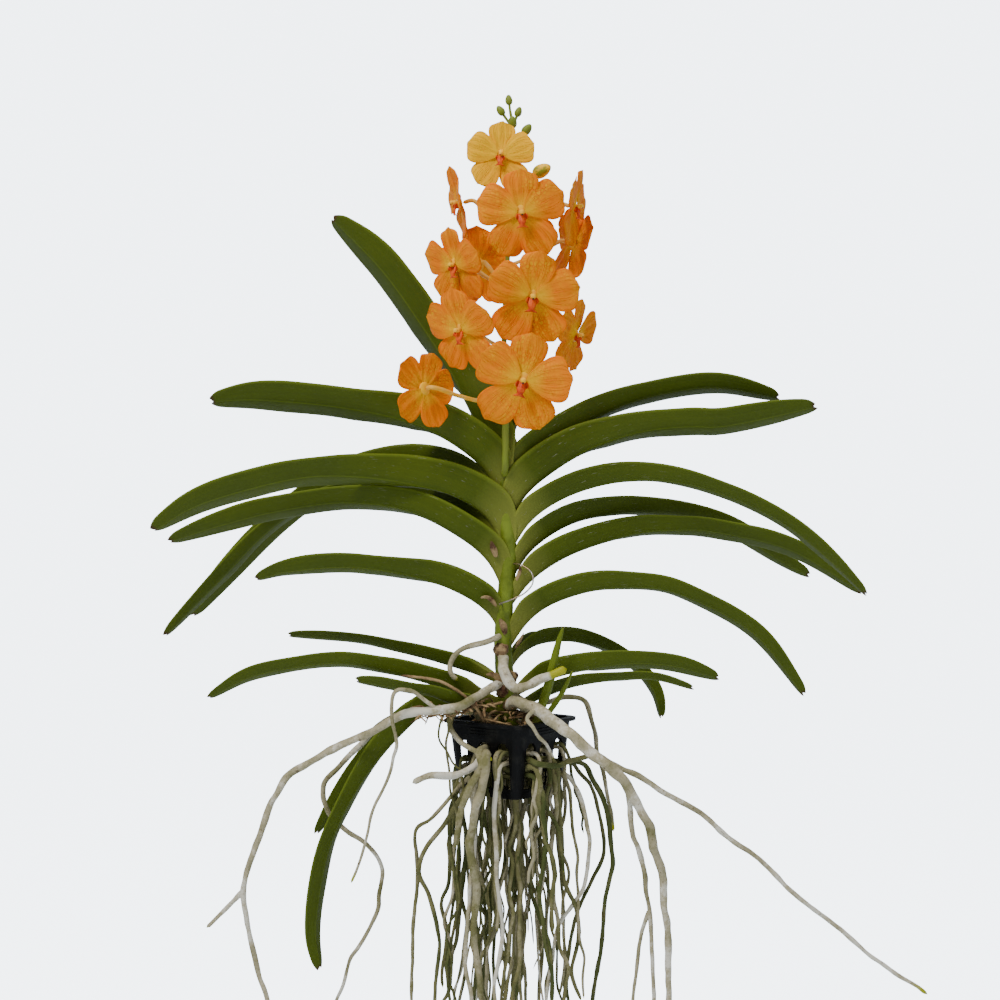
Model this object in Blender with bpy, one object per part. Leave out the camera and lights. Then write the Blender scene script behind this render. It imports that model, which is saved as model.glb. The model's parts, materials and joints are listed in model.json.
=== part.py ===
"""Vanda orchid hanging in a small slatted basket: strap leaves, orange blooms and free roots."""
import math
import random

import bmesh
import bpy
from mathutils import Matrix, Vector

MM = 0.001
GAP = 0.3 * MM
WELD = 0.01 * MM
ROOM = 1.0 * MM

# Basket, seen almost on one corner. The origin is the middle of its rim's top.
BASKET_SIDE = 78.0 * MM
BASKET_FOOT_SIDE = 66.0 * MM
BASKET_HEIGHT = 64.0 * MM
BASKET_WALL = 2.2 * MM
BASKET_CORNER = 7.0 * MM
BASKET_TURN = math.radians(-37.0)
RIM_WIDTH = 4.0 * MM
RIM_THICK = 3.0 * MM
SLOT_WIDTH = 13.0 * MM
SLOT_PITCH = 19.5 * MM
SLOT_TOP = -17.0 * MM
SLOT_FOOT = -56.0 * MM
FLOOR_HOLE = 15.5 * MM
FLOOR_PITCH = 19.0 * MM

# Stem: its axis from foot to growing tip, and its radius.
STEM_AXIS = [(-1, 0, -16), (-3, 0, 20), (-6, 0, 60), (-4, 0, 100), (-1, 0, 140), (-4, 0, 180), (-5, 2, 214)]
STEM_RADIUS = 8.5 * MM
STEM_TIP_RADIUS = 6.0 * MM
STEM_STEP = 30.0 * MM
SHEATH_START = 8.0 * MM
SHEATH_REACH = 42.0 * MM
SHEATH_THICK = 2.6 * MM
FOOT_COUNTS = (3, 2)

# Leaves: a route in millimetres from the stem's axis, half the blade's width, and how far it
# rolls to face forward.
LEAF_THICK = 1.8 * MM
WIDE_LEAF_COUNTS = (8, 4)
NARROW_LEAF_COUNTS = (8, 2)
NARROW_LEAF = 10.8
LEAVES = {
    "leaf_left_upright": ([(-4, 0, 192), (-24, 8, 238), (-48, 16, 290), (-76, 20, 335), (-108, 19, 380),
                           (-151, 12, 425)], 15.5, 45.0),
    "leaf_left_upper": ([(-4, 0, 174), (-20, -2, 208), (-45, -6, 232), (-77, -12, 250), (-131, -18, 264),
                         (-208, -22, 272), (-252, -24, 271)], 17.0, 50.0),
    "leaf_left_rear": ([(-4, 0, 154), (-20, 6, 184), (-50, 22, 207), (-95, 44, 213), (-148, 68, 200),
                        (-202, 94, 161), (-250, 116, 113), (-284, 132, 73)], 12.0, 42.0),
    "leaf_left_broad": ([(-3, 0, 134), (-18, -3, 168), (-42, -8, 187), (-72, -14, 198), (-130, -28, 208),
                         (-185, -38, 206), (-258, -42, 186), (-300, -38, 163)], 16.0, 50.0),
    "leaf_left_droop": ([(-2, 0, 118), (-19, 6, 150), (-46, 16, 172), (-77, 28, 184), (-112, 38, 188),
                         (-150, 46, 186), (-184, 50, 174), (-216, 48, 150), (-247, 44, 118), (-298, 36, 66)],
                        10.5, 36.0),
    "leaf_left_under": ([(-2, 0, 98), (-18, -2, 132), (-45, -6, 156), (-88, -6, 178), (-143, 0, 184),
                         (-199, 6, 176), (-247, 8, 164), (-291, 8, 150)], 13.0, 44.0),
    "leaf_left_middle": ([(-4, 0, 62), (-18, -2, 88), (-45, -8, 108), (-77, -14, 121), (-131, -22, 131),
                          (-186, -28, 128), (-214, -30, 121)], 12.0, 46.0),
    "leaf_left_low_rear": ([(-3, 2, 26), (-30, 10, 36), (-64, 16, 46), (-97, 20, 55), (-130, 20, 63),
                            (-190, 16, 69)], 8.0, 40.0),
    "leaf_left_low": ([(-3, 0, 10), (-32, -6, 17), (-64, -12, 29), (-107, -16, 42), (-150, -18, 49),
                       (-215, -18, 39), (-256, -16, 19)], 9.0, 45.0),
    "leaf_left_short": ([(-2, -2, 2), (-26, -22, 9), (-51, -32, 17), (-74, -34, 26), (-130, -32, 36)],
                        7.0, 30.0),
    "leaf_left_hanging": ([(-2, 2, 0), (-34, 2, 8), (-68, -6, 6), (-92, -14, -12), (-116, -18, -38),
                           (-138, -20, -72), (-154, -20, -108), (-163, -20, -150), (-166, -20, -184),
                           (-162, -18, -214)], 10.5, 55.0),
    "leaf_left_hanging_rear": ([(-2, 4, 2), (-36, 22, 9), (-76, 32, 4), (-108, 34, -20), (-132, 34, -48),
                                (-150, 34, -76), (-168, 33, -106)], 7.0, 50.0),
    "leaf_right_upper": ([(-4, 0, 182), (14, 0, 212), (35, 0, 232), (78, -3, 259), (121, -5, 275),
                          (175, -6, 282), (228, -6, 273)], 12.5, 46.0),
    "leaf_right_broad": ([(-3, 0, 160), (16, -3, 192), (56, -10, 224), (89, -16, 239), (120, -20, 247),
                          (152, -24, 250), (185, -27, 251), (257, -32, 267)], 15.0, 48.0),
    "leaf_right_arch": ([(-1, 0, 140), (18, -2, 168), (46, -8, 188), (78, -14, 200), (110, -20, 205),
                         (142, -26, 203), (174, -30, 195), (206, -34, 182), (237, -38, 164), (270, -41, 137),
                         (299, -42, 109)], 11.0, 45.0),
    "leaf_right_rear": ([(-1, 0, 114), (20, 4, 144), (54, 14, 165), (90, 22, 173), (123, 30, 174),
                         (156, 38, 170), (190, 45, 158), (235, 54, 130), (261, 58, 116)], 10.5, 42.0),
    "leaf_right_middle": ([(-2, 0, 92), (18, 0, 117), (46, 2, 136), (78, 4, 149), (111, 6, 158),
                           (144, 8, 160), (177, 8, 158), (242, 8, 142), (300, 4, 107)], 11.0, 45.0),
    "leaf_right_lower": ([(-4, 0, 54), (14, -2, 80), (35, -6, 97), (67, -10, 109), (99, -12, 113),
                          (132, -14, 111), (164, -16, 99), (196, -18, 82), (218, -20, 63), (249, -22, 22)],
                         10.5, 45.0),
    "leaf_right_low_bent": ([(-4, 2, 34), (10, 12, 52), (28, 20, 61), (57, 28, 62), (88, 32, 53),
                             (112, 34, 36), (126, 34, 16), (131, 34, -5)], 8.5, 50.0),
    "leaf_right_low": ([(-3, 0, 14), (22, -8, 28), (46, -13, 38), (78, -16, 46), (110, -18, 49),
                        (143, -18, 46), (177, -18, 36)], 9.5, 48.0),
    "leaf_right_low_rear": ([(-2, 4, 4), (26, 13, 14), (57, 14, 25), (90, 12, 31), (123, 10, 32),
                             (157, 8, 24)], 6.5, 40.0),
    "leaf_top_right": ([(-5, 2, 196), (-1, 14, 222), (4, 21, 244), (10, 25, 272)], 8.5, 0.0),
}

# Flower spike: its axis, and the blooms. Each bloom has a centre in millimetres, a size, a turn
# to the right, a tilt upwards, a lean to the right and the height at which its stalk leaves the axis.
SPIKE_AXIS = [(-5, -3, 206), (-4, -14, 222), (-4, -15, 272), (-5, -14, 324), (-2, -9, 390), (2, -4, 448),
              (3, -2, 490), (-1, 0, 522)]
SPIKE_RADIUS = 3.0 * MM
SPIKE_TIP_RADIUS = 1.3 * MM
SPIKE_STEP = 24.0 * MM
STALK_RADIUS = 1.4 * MM
STALK_STEP = 27.0 * MM
STALK_RUN = 9.0 * MM
BUD_DROP = 14.0
BLOOMS = {
    "bloom_01": ((-8, -36, 476), 0.76, -2.0, 4.0, 4.0, 452),
    "bloom_02": ((9, -54, 428), 0.99, 6.0, -10.0, -4.0, 404),
    "bloom_03": ((-43, -10, 437), 0.84, -78.0, -8.0, 0.0, 412),
    "bloom_04": ((54, -10, 434), 0.86, 74.0, -8.0, 8.0, 416),
    "bloom_05": ((54, 30, 404), 0.88, 116.0, -6.0, 0.0, 384),
    "bloom_06": ((-46, -42, 385), 0.86, -40.0, -12.0, -4.0, 366),
    "bloom_07": ((-28, 38, 386), 0.90, -150.0, -6.0, 0.0, 368),
    "bloom_08": ((18, -66, 359), 1.03, 6.0, -12.0, 6.0, 338),
    "bloom_09": ((-41, -62, 331), 0.94, -36.0, -14.0, -4.0, 314),
    "bloom_10": ((55, -14, 326), 0.84, 62.0, -10.0, 4.0, 312),
    "bloom_11": ((10, -82, 290), 1.08, 2.0, -10.0, 14.0, 270),
    "bloom_12": ((-72, -42, 282), 0.84, -136.0, -6.0, -18.0, 266),
    "bloom_13": ((18, 34, 430), 0.78, 150.0, -4.0, 0.0, 414),
}
BUDS = [((-1, 0, 524), 3.4), ((-8, -1, 515), 3.6), ((7, -1, 514), 3.4), ((14, -6, 499), 4.2), ((2, -9, 505), 4.2),
        ((-7, 6, 500), 4.0), ((27, 6, 465), 6.5)]

# A bloom at size 1, as seen from the front. Angles turn from straight up.
TEPAL_THICK = 0.9 * MM
TEPALS = [("dorsal", 0.0, 39.0, 15.0, -0.2), ("petal_left", 70.0, 40.0, 18.0, 1.8),
          ("petal_right", -70.0, 40.0, 18.0, 1.8), ("sepal_left", 146.0, 42.0, 16.5, -0.4),
          ("sepal_right", -146.0, 42.0, 16.5, -1.9)]
TEPAL_START = 3.2
TEPAL_OUTLINE = [(0.0, 0.11), (0.34, 0.76), (0.72, 1.0), (1.0, 0.46)]
TEPAL_CUP = 5.0
HUB_RADIUS = 4.2
HUB_SINK = 1.0
TEPAL_FLARE = 4.0

# Free roots: each has a route in millimetres, a radius at its start and one at its end. The
# first of each node leaves the stem or the clump, and the others branch from it.
FREE_ROOTS = {
    "root_thick_crown": [([(-6, -6, 54), (-5, -16, 43), (2, -25, 30), (12, -29, 30), (26, -32, 37),
                           (48, -34, 46)], 5.2, 3.4)],
    "root_thick_right": [([(-1, -7, 10), (5, -22, 17), (24, -40, 12), (54, -54, -9), (76, -58, -28), (97, -58, -48),
                           (117, -55, -85), (128, -52, -126), (133, -50, -175), (134, -50, -235),
                           (130, -48, -300)], 5.6, 2.0),
                         ([(98, -57, -50), (103, -44, -92), (114, -40, -128), (118, -38, -160), (122, -38, -235),
                           (119, -38, -285)], 2.6, 1.5),
                         ([(118, -38, -158), (110, -34, -186), (104, -34, -240), (106, -34, -275)], 1.8, 1.2),
                         ([(64, -56, -18), (84, -46, -32), (110, -40, -45), (161, -32, -77), (212, -24, -118),
                           (273, -16, -173), (306, -12, -202), (334, -10, -222), (358, -8, -238)], 2.6, 1.8),
                         ([(22, -39, 13), (14, -54, 7), (19, -59, 0), (24, -55, -9), (30, -45, -16),
                           (37, -32, -31)], 1.9, 1.3)],
    "root_left": [([(-6, 0, 31), (-18, -22, 27), (-44, -45, 15), (-68, -46, 12), (-93, -40, 7), (-144, -28, -20),
                    (-187, -20, -46), (-204, -16, -73), (-218, -13, -112), (-228, -10, -150), (-222, -8, -190),
                    (-208, -8, -243), (-210, -8, -285)], 4.0, 2.0),
                  ([(-226, -10, -146), (-243, -6, -164), (-260, -4, -181)], 2.6, 1.6),
                  ([(-60, -46, 12), (-84, -52, 30), (-97, -54, 28), (-99, -56, 8), (-95, -56, -14), (-101, -54, -40),
                    (-113, -52, -66), (-121, -50, -96), (-134, -48, -134)], 1.8, 1.1)],
    "root_left_winding": [([(-12, 5, -13), (-24, 8, 4), (-44, 11, 8), (-78, 12, 7), (-106, 12, -4), (-128, 12, -25),
                            (-148, 12, -46), (-160, 12, -60), (-157, 12, -82), (-142, 13, -99), (-122, 14, -113),
                            (-110, 14, -133), (-114, 12, -169), (-124, 10, -190), (-138, 10, -212),
                            (-150, 10, -250), (-146, 10, -280)], 3.0, 1.4)],
    "root_loop": [([(-6, 0, 72), (-16, -13, 68), (-40, -18, 61), (-50, -18, 50), (-50, -18, 40), (-44, -17, 34)], 2.6, 2.0)],
    "root_right_rear": [([(10, 12, -13), (21, 20, 6), (36, 32, 10), (50, 42, 12), (65, 46, 8), (72, 46, -12), (76, 46, -38),
                          (84, 44, -70), (90, 42, -106)], 2.6, 1.6)],
    "root_over_rim": [([(-20, -8, -14), (-30, -13, 6), (-44, -22, 10), (-51, -30, -2), (-43, -34, -15),
                        (-29, -41, -23), (-15, -52, -29)], 2.4, 2.2)],
    "dry_stalk": [([(-14, -18, -14), (-21, -23, -2), (-29, -29, 13), (-41, -34, 25), (-55, -37, 34),
                    (-68, -38, 38), (-92, -40, 41)], 1.5, 1.0)],
}
TIE_WIRE = [(-1, 0, 132), (9, -12, 132), (18, -18, 126), (19, -22, 117), (12, -25, 109), (0, -24, 103), (-9, -15, 99),
            (-3, 0, 97)]
TIE_WIRE_RADIUS = 0.7 * MM
ROOT_SIDES_RESOLUTION = 0
ROOT_STEP = 21.5 * MM

# Young shoot beside the crown, rising from the root clump.
SHOOT_BLADES = [([(20, -18, -14), (24, -22, 2), (31, -26, 22), (36, -29, 42), (40, -30, 62), (45, -30, 81)], 3.6),
                ([(22, -16, -14), (33, -20, 4), (42, -24, 18), (48, -27, 30), (53, -28, 44)], 2.6)]

SHOOT_COUNTS = (6, 2)
SHOOT_THICK = 1.4 * MM

# Root clump in the basket, and the strands that hang from it through its slots and floor.
CLUMP_TOP = -18.0 * MM
CLUMP_FOOT = -50.0 * MM
CLUMP_RADIUS = 25.0 * MM
FLOOR_STRANDS = 22
SLOT_STRANDS = 12
STRAND_SEED = 7
STRAND_STEP = 38.0 * MM
TRACE_STEP = 0.05

COLOURS = {
    "basket_plastic": ((0.012, 0.012, 0.014), 0.38, 0.0),
    "leaf_green": ((0.075, 0.135, 0.018), 0.42, 0.0),
    "stem_green": ((0.14, 0.19, 0.03), 0.5, 0.0),
    "bloom_orange": ((1.0, 0.26, 0.008), 0.48, 0.0),
    "bloom_yellow": ((1.0, 0.46, 0.01), 0.48, 0.0),
    "spike_green": ((0.36, 0.40, 0.10), 0.5, 0.0),
    "root_silver": ((0.55, 0.53, 0.42), 0.75, 0.0),
    "root_olive": ((0.24, 0.25, 0.12), 0.75, 0.0),
    "dry_brown": ((0.42, 0.31, 0.19), 0.85, 0.0),
    "tie_wire": ((0.55, 0.56, 0.58), 0.35, 1.0),
}


def clear_scene():
    """Remove whatever the file held before."""
    for item in list(bpy.data.objects):
        bpy.data.objects.remove(item, do_unlink=True)


def make_collection(name):
    """A collection linked to the scene."""
    collection = bpy.data.collections.new(name)
    bpy.context.scene.collection.children.link(collection)
    return collection


def make_material(name):
    """A Principled material from the colour table."""
    colour, roughness, metallic = COLOURS[name]
    material = bpy.data.materials.new(name)
    material.use_nodes = True
    shader = material.node_tree.nodes["Principled BSDF"]
    shader.inputs["Base Color"].default_value = (*colour, 1.0)
    shader.inputs["Roughness"].default_value = roughness
    shader.inputs["Metallic"].default_value = metallic
    return material


def link_mesh(name, mesh, collection, material=None):
    """An object for a mesh, shaded smooth up to sharp edges."""
    item = bpy.data.objects.new(name, mesh)
    collection.objects.link(item)
    if material is not None:
        mesh.materials.clear()
        mesh.materials.append(material)
    mesh.shade_smooth()
    mesh.set_sharp_from_angle(angle=math.radians(40.0))
    return item


def mesh_from_bmesh(name, shape):
    """Write a bmesh to a new mesh and free it."""
    mesh = bpy.data.meshes.new(name)
    shape.to_mesh(mesh)
    shape.free()
    return mesh


def millimetres(points):
    """Vectors in metres from points in millimetres."""
    return [Vector(point) * MM for point in points]


def smooth_point(points, place):
    """The point of a smooth curve through the points; place runs from 0 to the last index."""
    last = len(points) - 1
    index = min(int(place), last - 1)
    part = place - index
    before = points[index - 1] if index > 0 else points[0] * 2.0 - points[1]
    after = points[index + 2] if index + 2 <= last else points[last] * 2.0 - points[last - 1]
    start, end = points[index], points[index + 1]
    return 0.5 * (2.0 * start + (end - before) * part + (2.0 * before - 5.0 * start + 4.0 * end - after) * part ** 2
                  + (3.0 * start - before - 3.0 * end + after) * part ** 3)


def trace_route(points):
    """Fine trace of a route: the length so far, the point and its frame at each step."""
    fine = [smooth_point(points, step * TRACE_STEP) for step in range(round((len(points) - 1) / TRACE_STEP) + 1)]
    upper = Vector((0.0, 0.0, 1.0))
    trace = []
    length = 0.0
    for index, point in enumerate(fine):
        ahead = fine[min(index + 1, len(fine) - 1)]
        behind = fine[max(index - 1, 0)]
        tangent = (ahead - behind).normalized()
        upper = (upper - tangent * upper.dot(tangent)).normalized()
        length += (point - fine[index - 1]).length if index > 0 else 0.0
        trace.append((length, point, tangent, upper))
    return trace


def sample_trace(trace, start, end, count):
    """Point, tangent, side and upper direction at even lengths between two lengths of a trace."""
    end = trace[-1][0] if end is None else end
    result = []
    index = 0
    for step in range(count):
        want = start + (end - start) * step / (count - 1)
        while index < len(trace) - 2 and trace[index + 1][0] < want:
            index += 1
        first, second = trace[index], trace[index + 1]
        part = (want - first[0]) / (second[0] - first[0])
        tangent = first[2].lerp(second[2], part).normalized()
        upper = first[3].lerp(second[3], part)
        upper = (upper - tangent * upper.dot(tangent)).normalized()
        result.append((first[1].lerp(second[1], part), tangent, tangent.cross(upper), upper))
    return result


def make_strip(name, route, span, counts, half_width, roll, thick, profile):
    """A closed strap along a span of a route, folded in a V: profile gives width, fold and roll by place."""
    stations, columns = counts
    frames = sample_trace(trace_route(route), span[0], span[1], stations)
    shape = bmesh.new()
    bmesh.ops.create_grid(shape, x_segments=stations - 1, y_segments=columns, size=1.0)
    for vertex in shape.verts:
        row = round((vertex.co.x + 1.0) * 0.5 * (stations - 1))
        across = vertex.co.y
        width, fold, turn = profile(row / (stations - 1))
        point, tangent, side, upper = frames[row]
        facing = 1.0 if side.y < 0.0 else -1.0
        spin = Matrix.Rotation(-math.radians(roll) * turn * facing, 3, tangent)
        side, upper = spin @ side, spin @ upper
        reach = across * half_width * width
        rise = abs(across) ** 1.25 * half_width * width * math.sin(fold)
        vertex.co = point + side * reach * math.cos(fold) + upper * rise
    shape.normal_update()
    bmesh.ops.recalc_face_normals(shape, faces=shape.faces)
    bmesh.ops.solidify(shape, geom=shape.faces[:], thickness=thick)
    bmesh.ops.triangulate(shape, faces=shape.faces[:])
    bmesh.ops.recalc_face_normals(shape, faces=shape.faces)
    return mesh_from_bmesh(name, shape)


def blade_profile(place):
    """Leaf: folded and narrower at its joint, open in the middle, blunt at the tip."""
    width = min(1.0, 0.74 + 1.1 * place) * (1.0 - 0.62 * max(0.0, (place - 0.72) / 0.28) ** 2.2)
    fold = math.radians(50.0 - 30.0 * min(1.0, place * 2.2))
    return width, fold, min(1.0, place * 3.0)


def sheath_profile(place):
    """Leaf foot that clasps the stem."""
    return 0.40 + 0.34 * place, math.radians(50.0), 0.0


def shoot_profile(place):
    """Slim young blade with a pointed tip."""
    return max(0.14, (0.55 + place) * (1.0 - place) * 1.9), math.radians(40.0), 0.0


def make_tube(name, route, start_radius, end_radius, step, resolution):
    """A tapered tube along a route, with both ends closed."""
    trace = trace_route(route)
    points = [frame[0] for frame in sample_trace(trace, 0.0, None, max(3, round(trace[-1][0] / step) + 1))]
    curve = bpy.data.curves.new(name, "CURVE")
    curve.dimensions = "3D"
    curve.bevel_depth = 1.0
    curve.bevel_resolution = resolution
    curve.use_fill_caps = True
    spline = curve.splines.new("POLY")
    spline.points.add(len(points) - 1)
    for index, point in enumerate(points):
        part = index / (len(points) - 1)
        taper = 1.0 if part < 0.93 else 0.55 + 0.45 * (1.0 - part) / 0.07
        spline.points[index].co = (*point, 1.0)
        spline.points[index].radius = (start_radius + (end_radius - start_radius) * part) * taper
    item = bpy.data.objects.new(name, curve)
    bpy.context.scene.collection.objects.link(item)
    evaluated = item.evaluated_get(bpy.context.evaluated_depsgraph_get())
    mesh = bpy.data.meshes.new_from_object(evaluated)
    bpy.data.objects.remove(item, do_unlink=True)
    bpy.data.curves.remove(curve)
    shape = bmesh.new()
    shape.from_mesh(mesh)
    bmesh.ops.remove_doubles(shape, verts=shape.verts, dist=0.00001)
    bmesh.ops.triangulate(shape, faces=shape.faces[:])
    bmesh.ops.recalc_face_normals(shape, faces=shape.faces)
    shape.to_mesh(mesh)
    shape.free()
    return mesh


def keep_largest(mesh):
    """Weld a mesh and drop its loose scraps; says whether the rest is closed."""
    shape = bmesh.new()
    shape.from_mesh(mesh)
    bmesh.ops.remove_doubles(shape, verts=shape.verts, dist=WELD)
    bmesh.ops.triangulate(shape, faces=shape.faces[:])
    groups = []
    waiting = set(shape.verts)
    while waiting:
        group = []
        front = [waiting.pop()]
        while front:
            vertex = front.pop()
            group.append(vertex)
            for edge in vertex.link_edges:
                other = edge.other_vert(vertex)
                if other in waiting:
                    waiting.remove(other)
                    front.append(other)
        groups.append(group)
    groups.sort(key=len)
    for group in groups[:-1]:
        bmesh.ops.delete(shape, geom=group, context="VERTS")
    closed = all(len(edge.link_faces) == 2 for edge in shape.edges)
    shape.to_mesh(mesh)
    shape.free()
    return closed


def apply_boolean(name, target, tools, operation, collection, material):
    """Join the tools to a target mesh, or cut them from it, as one new object."""
    for solver in ("EXACT", "MANIFOLD"):
        copies = [tool.copy() for tool in tools]
        item = solve_boolean(name, target.copy(), copies, operation, collection, material, solver)
        if keep_largest(item.data) or solver == "MANIFOLD":
            return item
        bpy.data.objects.remove(item, do_unlink=True)
    return item


def solve_boolean(name, target, tools, operation, collection, material, solver):
    """One run of a Boolean modifier on a collection of tools, applied."""
    item = link_mesh(name, target, collection, material)
    group = bpy.data.collections.new(name + "_tools")
    bpy.context.scene.collection.children.link(group)
    for index, mesh in enumerate(tools):
        tool = bpy.data.objects.new(f"{name}_tool_{index}", mesh)
        tool.hide_render = True
        tool.display_type = "WIRE"
        group.objects.link(tool)
    modifier = item.modifiers.new("Boolean", "BOOLEAN")
    modifier.operation = operation
    modifier.operand_type = "COLLECTION"
    modifier.collection = group
    modifier.solver = solver
    evaluated = item.evaluated_get(bpy.context.evaluated_depsgraph_get())
    mesh = bpy.data.meshes.new_from_object(evaluated)
    for tool in list(group.objects):
        bpy.data.objects.remove(tool, do_unlink=True)
    bpy.data.collections.remove(group)
    bpy.data.objects.remove(item, do_unlink=True)
    return link_mesh(name, mesh, collection, material)


def make_ball(name, centre, radius, stretch=1.0, axis=None):
    """A small faceted ball, stretched along its axis."""
    shape = bmesh.new()
    bmesh.ops.create_uvsphere(shape, u_segments=5, v_segments=4, radius=radius)
    turn = Matrix.Identity(4)
    if axis is not None:
        turn = axis.to_track_quat("Z", "Y").to_matrix().to_4x4()
    bmesh.ops.transform(shape, matrix=Matrix.Translation(centre) @ turn @ Matrix.Diagonal((1.0, 1.0, stretch, 1.0)),
                        verts=shape.verts)
    return mesh_from_bmesh(name, shape)


def basket_matrix():
    """The basket's own axes in the part's frame."""
    return Matrix.Rotation(BASKET_TURN, 4, "Z")


def half_side(height):
    """Half the basket's outer side at a height below its rim."""
    part = -height / BASKET_HEIGHT
    return 0.5 * (BASKET_SIDE + (BASKET_FOOT_SIDE - BASKET_SIDE) * part)


def make_box(low, high, matrix, narrow=1.0):
    """A box between two corners, its top narrowed along X to round it off."""
    shape = bmesh.new()
    bmesh.ops.create_cube(shape, size=1.0)
    size = Vector(high) - Vector(low)
    middle = (Vector(high) + Vector(low)) * 0.5
    for vertex in shape.verts:
        along = vertex.co.x * (narrow if vertex.co.z > 0.0 else 1.0)
        vertex.co = Vector((along * size.x, vertex.co.y * size.y, vertex.co.z * size.z)) + middle
    bmesh.ops.transform(shape, matrix=matrix, verts=shape.verts)
    return mesh_from_bmesh("box", shape)


def make_frustum(top, foot, top_z, foot_z, corner):
    """A square block that narrows downwards, with cut corners."""
    shape = bmesh.new()
    bmesh.ops.create_cube(shape, size=1.0)
    for vertex in shape.verts:
        side = top if vertex.co.z > 0.0 else foot
        level = top_z if vertex.co.z > 0.0 else foot_z
        vertex.co = Vector((vertex.co.x * side, vertex.co.y * side, level))
    upright = [edge for edge in shape.edges if abs(edge.verts[0].co.z - edge.verts[1].co.z) > 0.5 * abs(top_z - foot_z)]
    bmesh.ops.bevel(shape, geom=upright, offset=corner, segments=2, profile=0.5, affect="EDGES", material=-1)
    return mesh_from_bmesh("frustum", shape)


def build_basket(collection, material):
    """Tapered basket: a lipped rim, a plain band, tall slots on four sides and a barred floor."""
    body = make_frustum(BASKET_SIDE, BASKET_FOOT_SIDE, 0.0, -BASKET_HEIGHT, BASKET_CORNER)
    lip_side = BASKET_SIDE + 2.0 * RIM_WIDTH
    lip = make_frustum(lip_side, lip_side, 0.0, -RIM_THICK, BASKET_CORNER + RIM_WIDTH * 0.6)
    outer = apply_boolean("basket_outer", body, [lip], "UNION", collection, None)
    outer_mesh = outer.data
    bpy.data.objects.remove(outer, do_unlink=True)
    above = 5.0 * MM
    slope = (BASKET_SIDE - BASKET_FOOT_SIDE) / BASKET_HEIGHT
    cutters = [make_frustum(BASKET_SIDE - 2.0 * BASKET_WALL + above * slope,
                            BASKET_FOOT_SIDE - 2.0 * BASKET_WALL, above, -BASKET_HEIGHT + BASKET_WALL,
                            BASKET_CORNER - BASKET_WALL * 0.6)]
    for side in range(4):
        turn = Matrix.Rotation(math.radians(90.0 * side), 4, "Z")
        for slot in (-1, 0, 1):
            middle = slot * SLOT_PITCH
            half = SLOT_WIDTH * 0.5
            near = BASKET_FOOT_SIDE * 0.5 - 6.0 * MM
            far = BASKET_SIDE * 0.5 + 12.0 * MM
            shoulder = SLOT_TOP - 4.0 * MM
            cutters.append(make_box((middle - half, -far, SLOT_FOOT), (middle + half, -near, shoulder), turn))
            cutters.append(make_box((middle - half, -far, shoulder - 0.5 * MM), (middle + half, -near, SLOT_TOP), turn,
                                    0.45))
    for row in (-1, 0, 1):
        for column in (-1, 0, 1):
            x, y, half = row * FLOOR_PITCH, column * FLOOR_PITCH, FLOOR_HOLE * 0.5
            cutters.append(make_box((x - half, y - half, -BASKET_HEIGHT - above),
                                    (x + half, y + half, -BASKET_HEIGHT + above), Matrix.Identity(4)))
    basket = apply_boolean("basket", outer_mesh, cutters, "DIFFERENCE", collection, material)
    basket.data.transform(basket_matrix())
    basket.data.shade_flat()
    return basket


def build_stem(collection, material):
    """Stem with the clasping foot of every leaf, in one piece."""
    axis = millimetres(STEM_AXIS)
    core = make_tube("core", axis, STEM_RADIUS, STEM_TIP_RADIUS, STEM_STEP, 1)
    feet = []
    for name, (route, half_width, roll) in LEAVES.items():
        feet.append(make_strip(name + "_foot", millimetres(route), (SHEATH_START, SHEATH_REACH), FOOT_COUNTS,
                               half_width * MM, roll, SHEATH_THICK, sheath_profile))
    return apply_boolean("stem", core, feet, "UNION", collection, material)


def build_leaves(collection, material, stem_room):
    """The blades, each from its joint on the stem's foot to its tip, clear of the other feet."""
    for name, (route, half_width, roll) in LEAVES.items():
        counts = WIDE_LEAF_COUNTS if half_width > NARROW_LEAF else NARROW_LEAF_COUNTS
        mesh = make_strip(name, millimetres(route), (SHEATH_REACH + 2.0 * GAP, None), counts,
                          half_width * MM, roll, LEAF_THICK, blade_profile)
        apply_boolean(name, mesh, [stem_room], "DIFFERENCE", collection, material)


def bloom_matrix(centre, turn, tilt, lean):
    """Axes of a bloom: X to its own left, Y up and Z the way it faces."""
    front = Matrix.Rotation(math.radians(90.0), 4, "X")
    aim = Matrix.Rotation(math.radians(turn), 4, "Z") @ Matrix.Rotation(math.radians(-tilt), 4, "X")
    return Matrix.Translation(Vector(centre) * MM) @ aim @ front @ Matrix.Rotation(math.radians(-lean), 4, "Z")


def make_tepal(angle, length, half_width, layer):
    """One petal or sepal: a cupped, rounded plate that widens from a narrow claw."""
    columns = len(TEPAL_OUTLINE)
    shape = bmesh.new()
    bmesh.ops.create_grid(shape, x_segments=columns - 1, y_segments=2, size=1.0)
    for vertex in shape.verts:
        place, width = TEPAL_OUTLINE[round((vertex.co.x + 1.0) * 0.5 * (columns - 1))]
        across = vertex.co.y
        reach = TEPAL_START + (length - TEPAL_START) * place * (1.0 - 0.05 * abs(across))
        depth = layer + TEPAL_CUP * place ** 2 - TEPAL_FLARE * place ** 4 + 0.5 * across ** 2 * place
        vertex.co = Vector((across * half_width * width, reach, depth))
    shape.normal_update()
    bmesh.ops.recalc_face_normals(shape, faces=shape.faces)
    bmesh.ops.solidify(shape, geom=shape.faces[:], thickness=TEPAL_THICK / MM)
    bmesh.ops.triangulate(shape, faces=shape.faces[:])
    bmesh.ops.recalc_face_normals(shape, faces=shape.faces)
    bmesh.ops.transform(shape, matrix=Matrix.Rotation(math.radians(angle), 4, "Z"), verts=shape.verts)
    return shape


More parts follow.
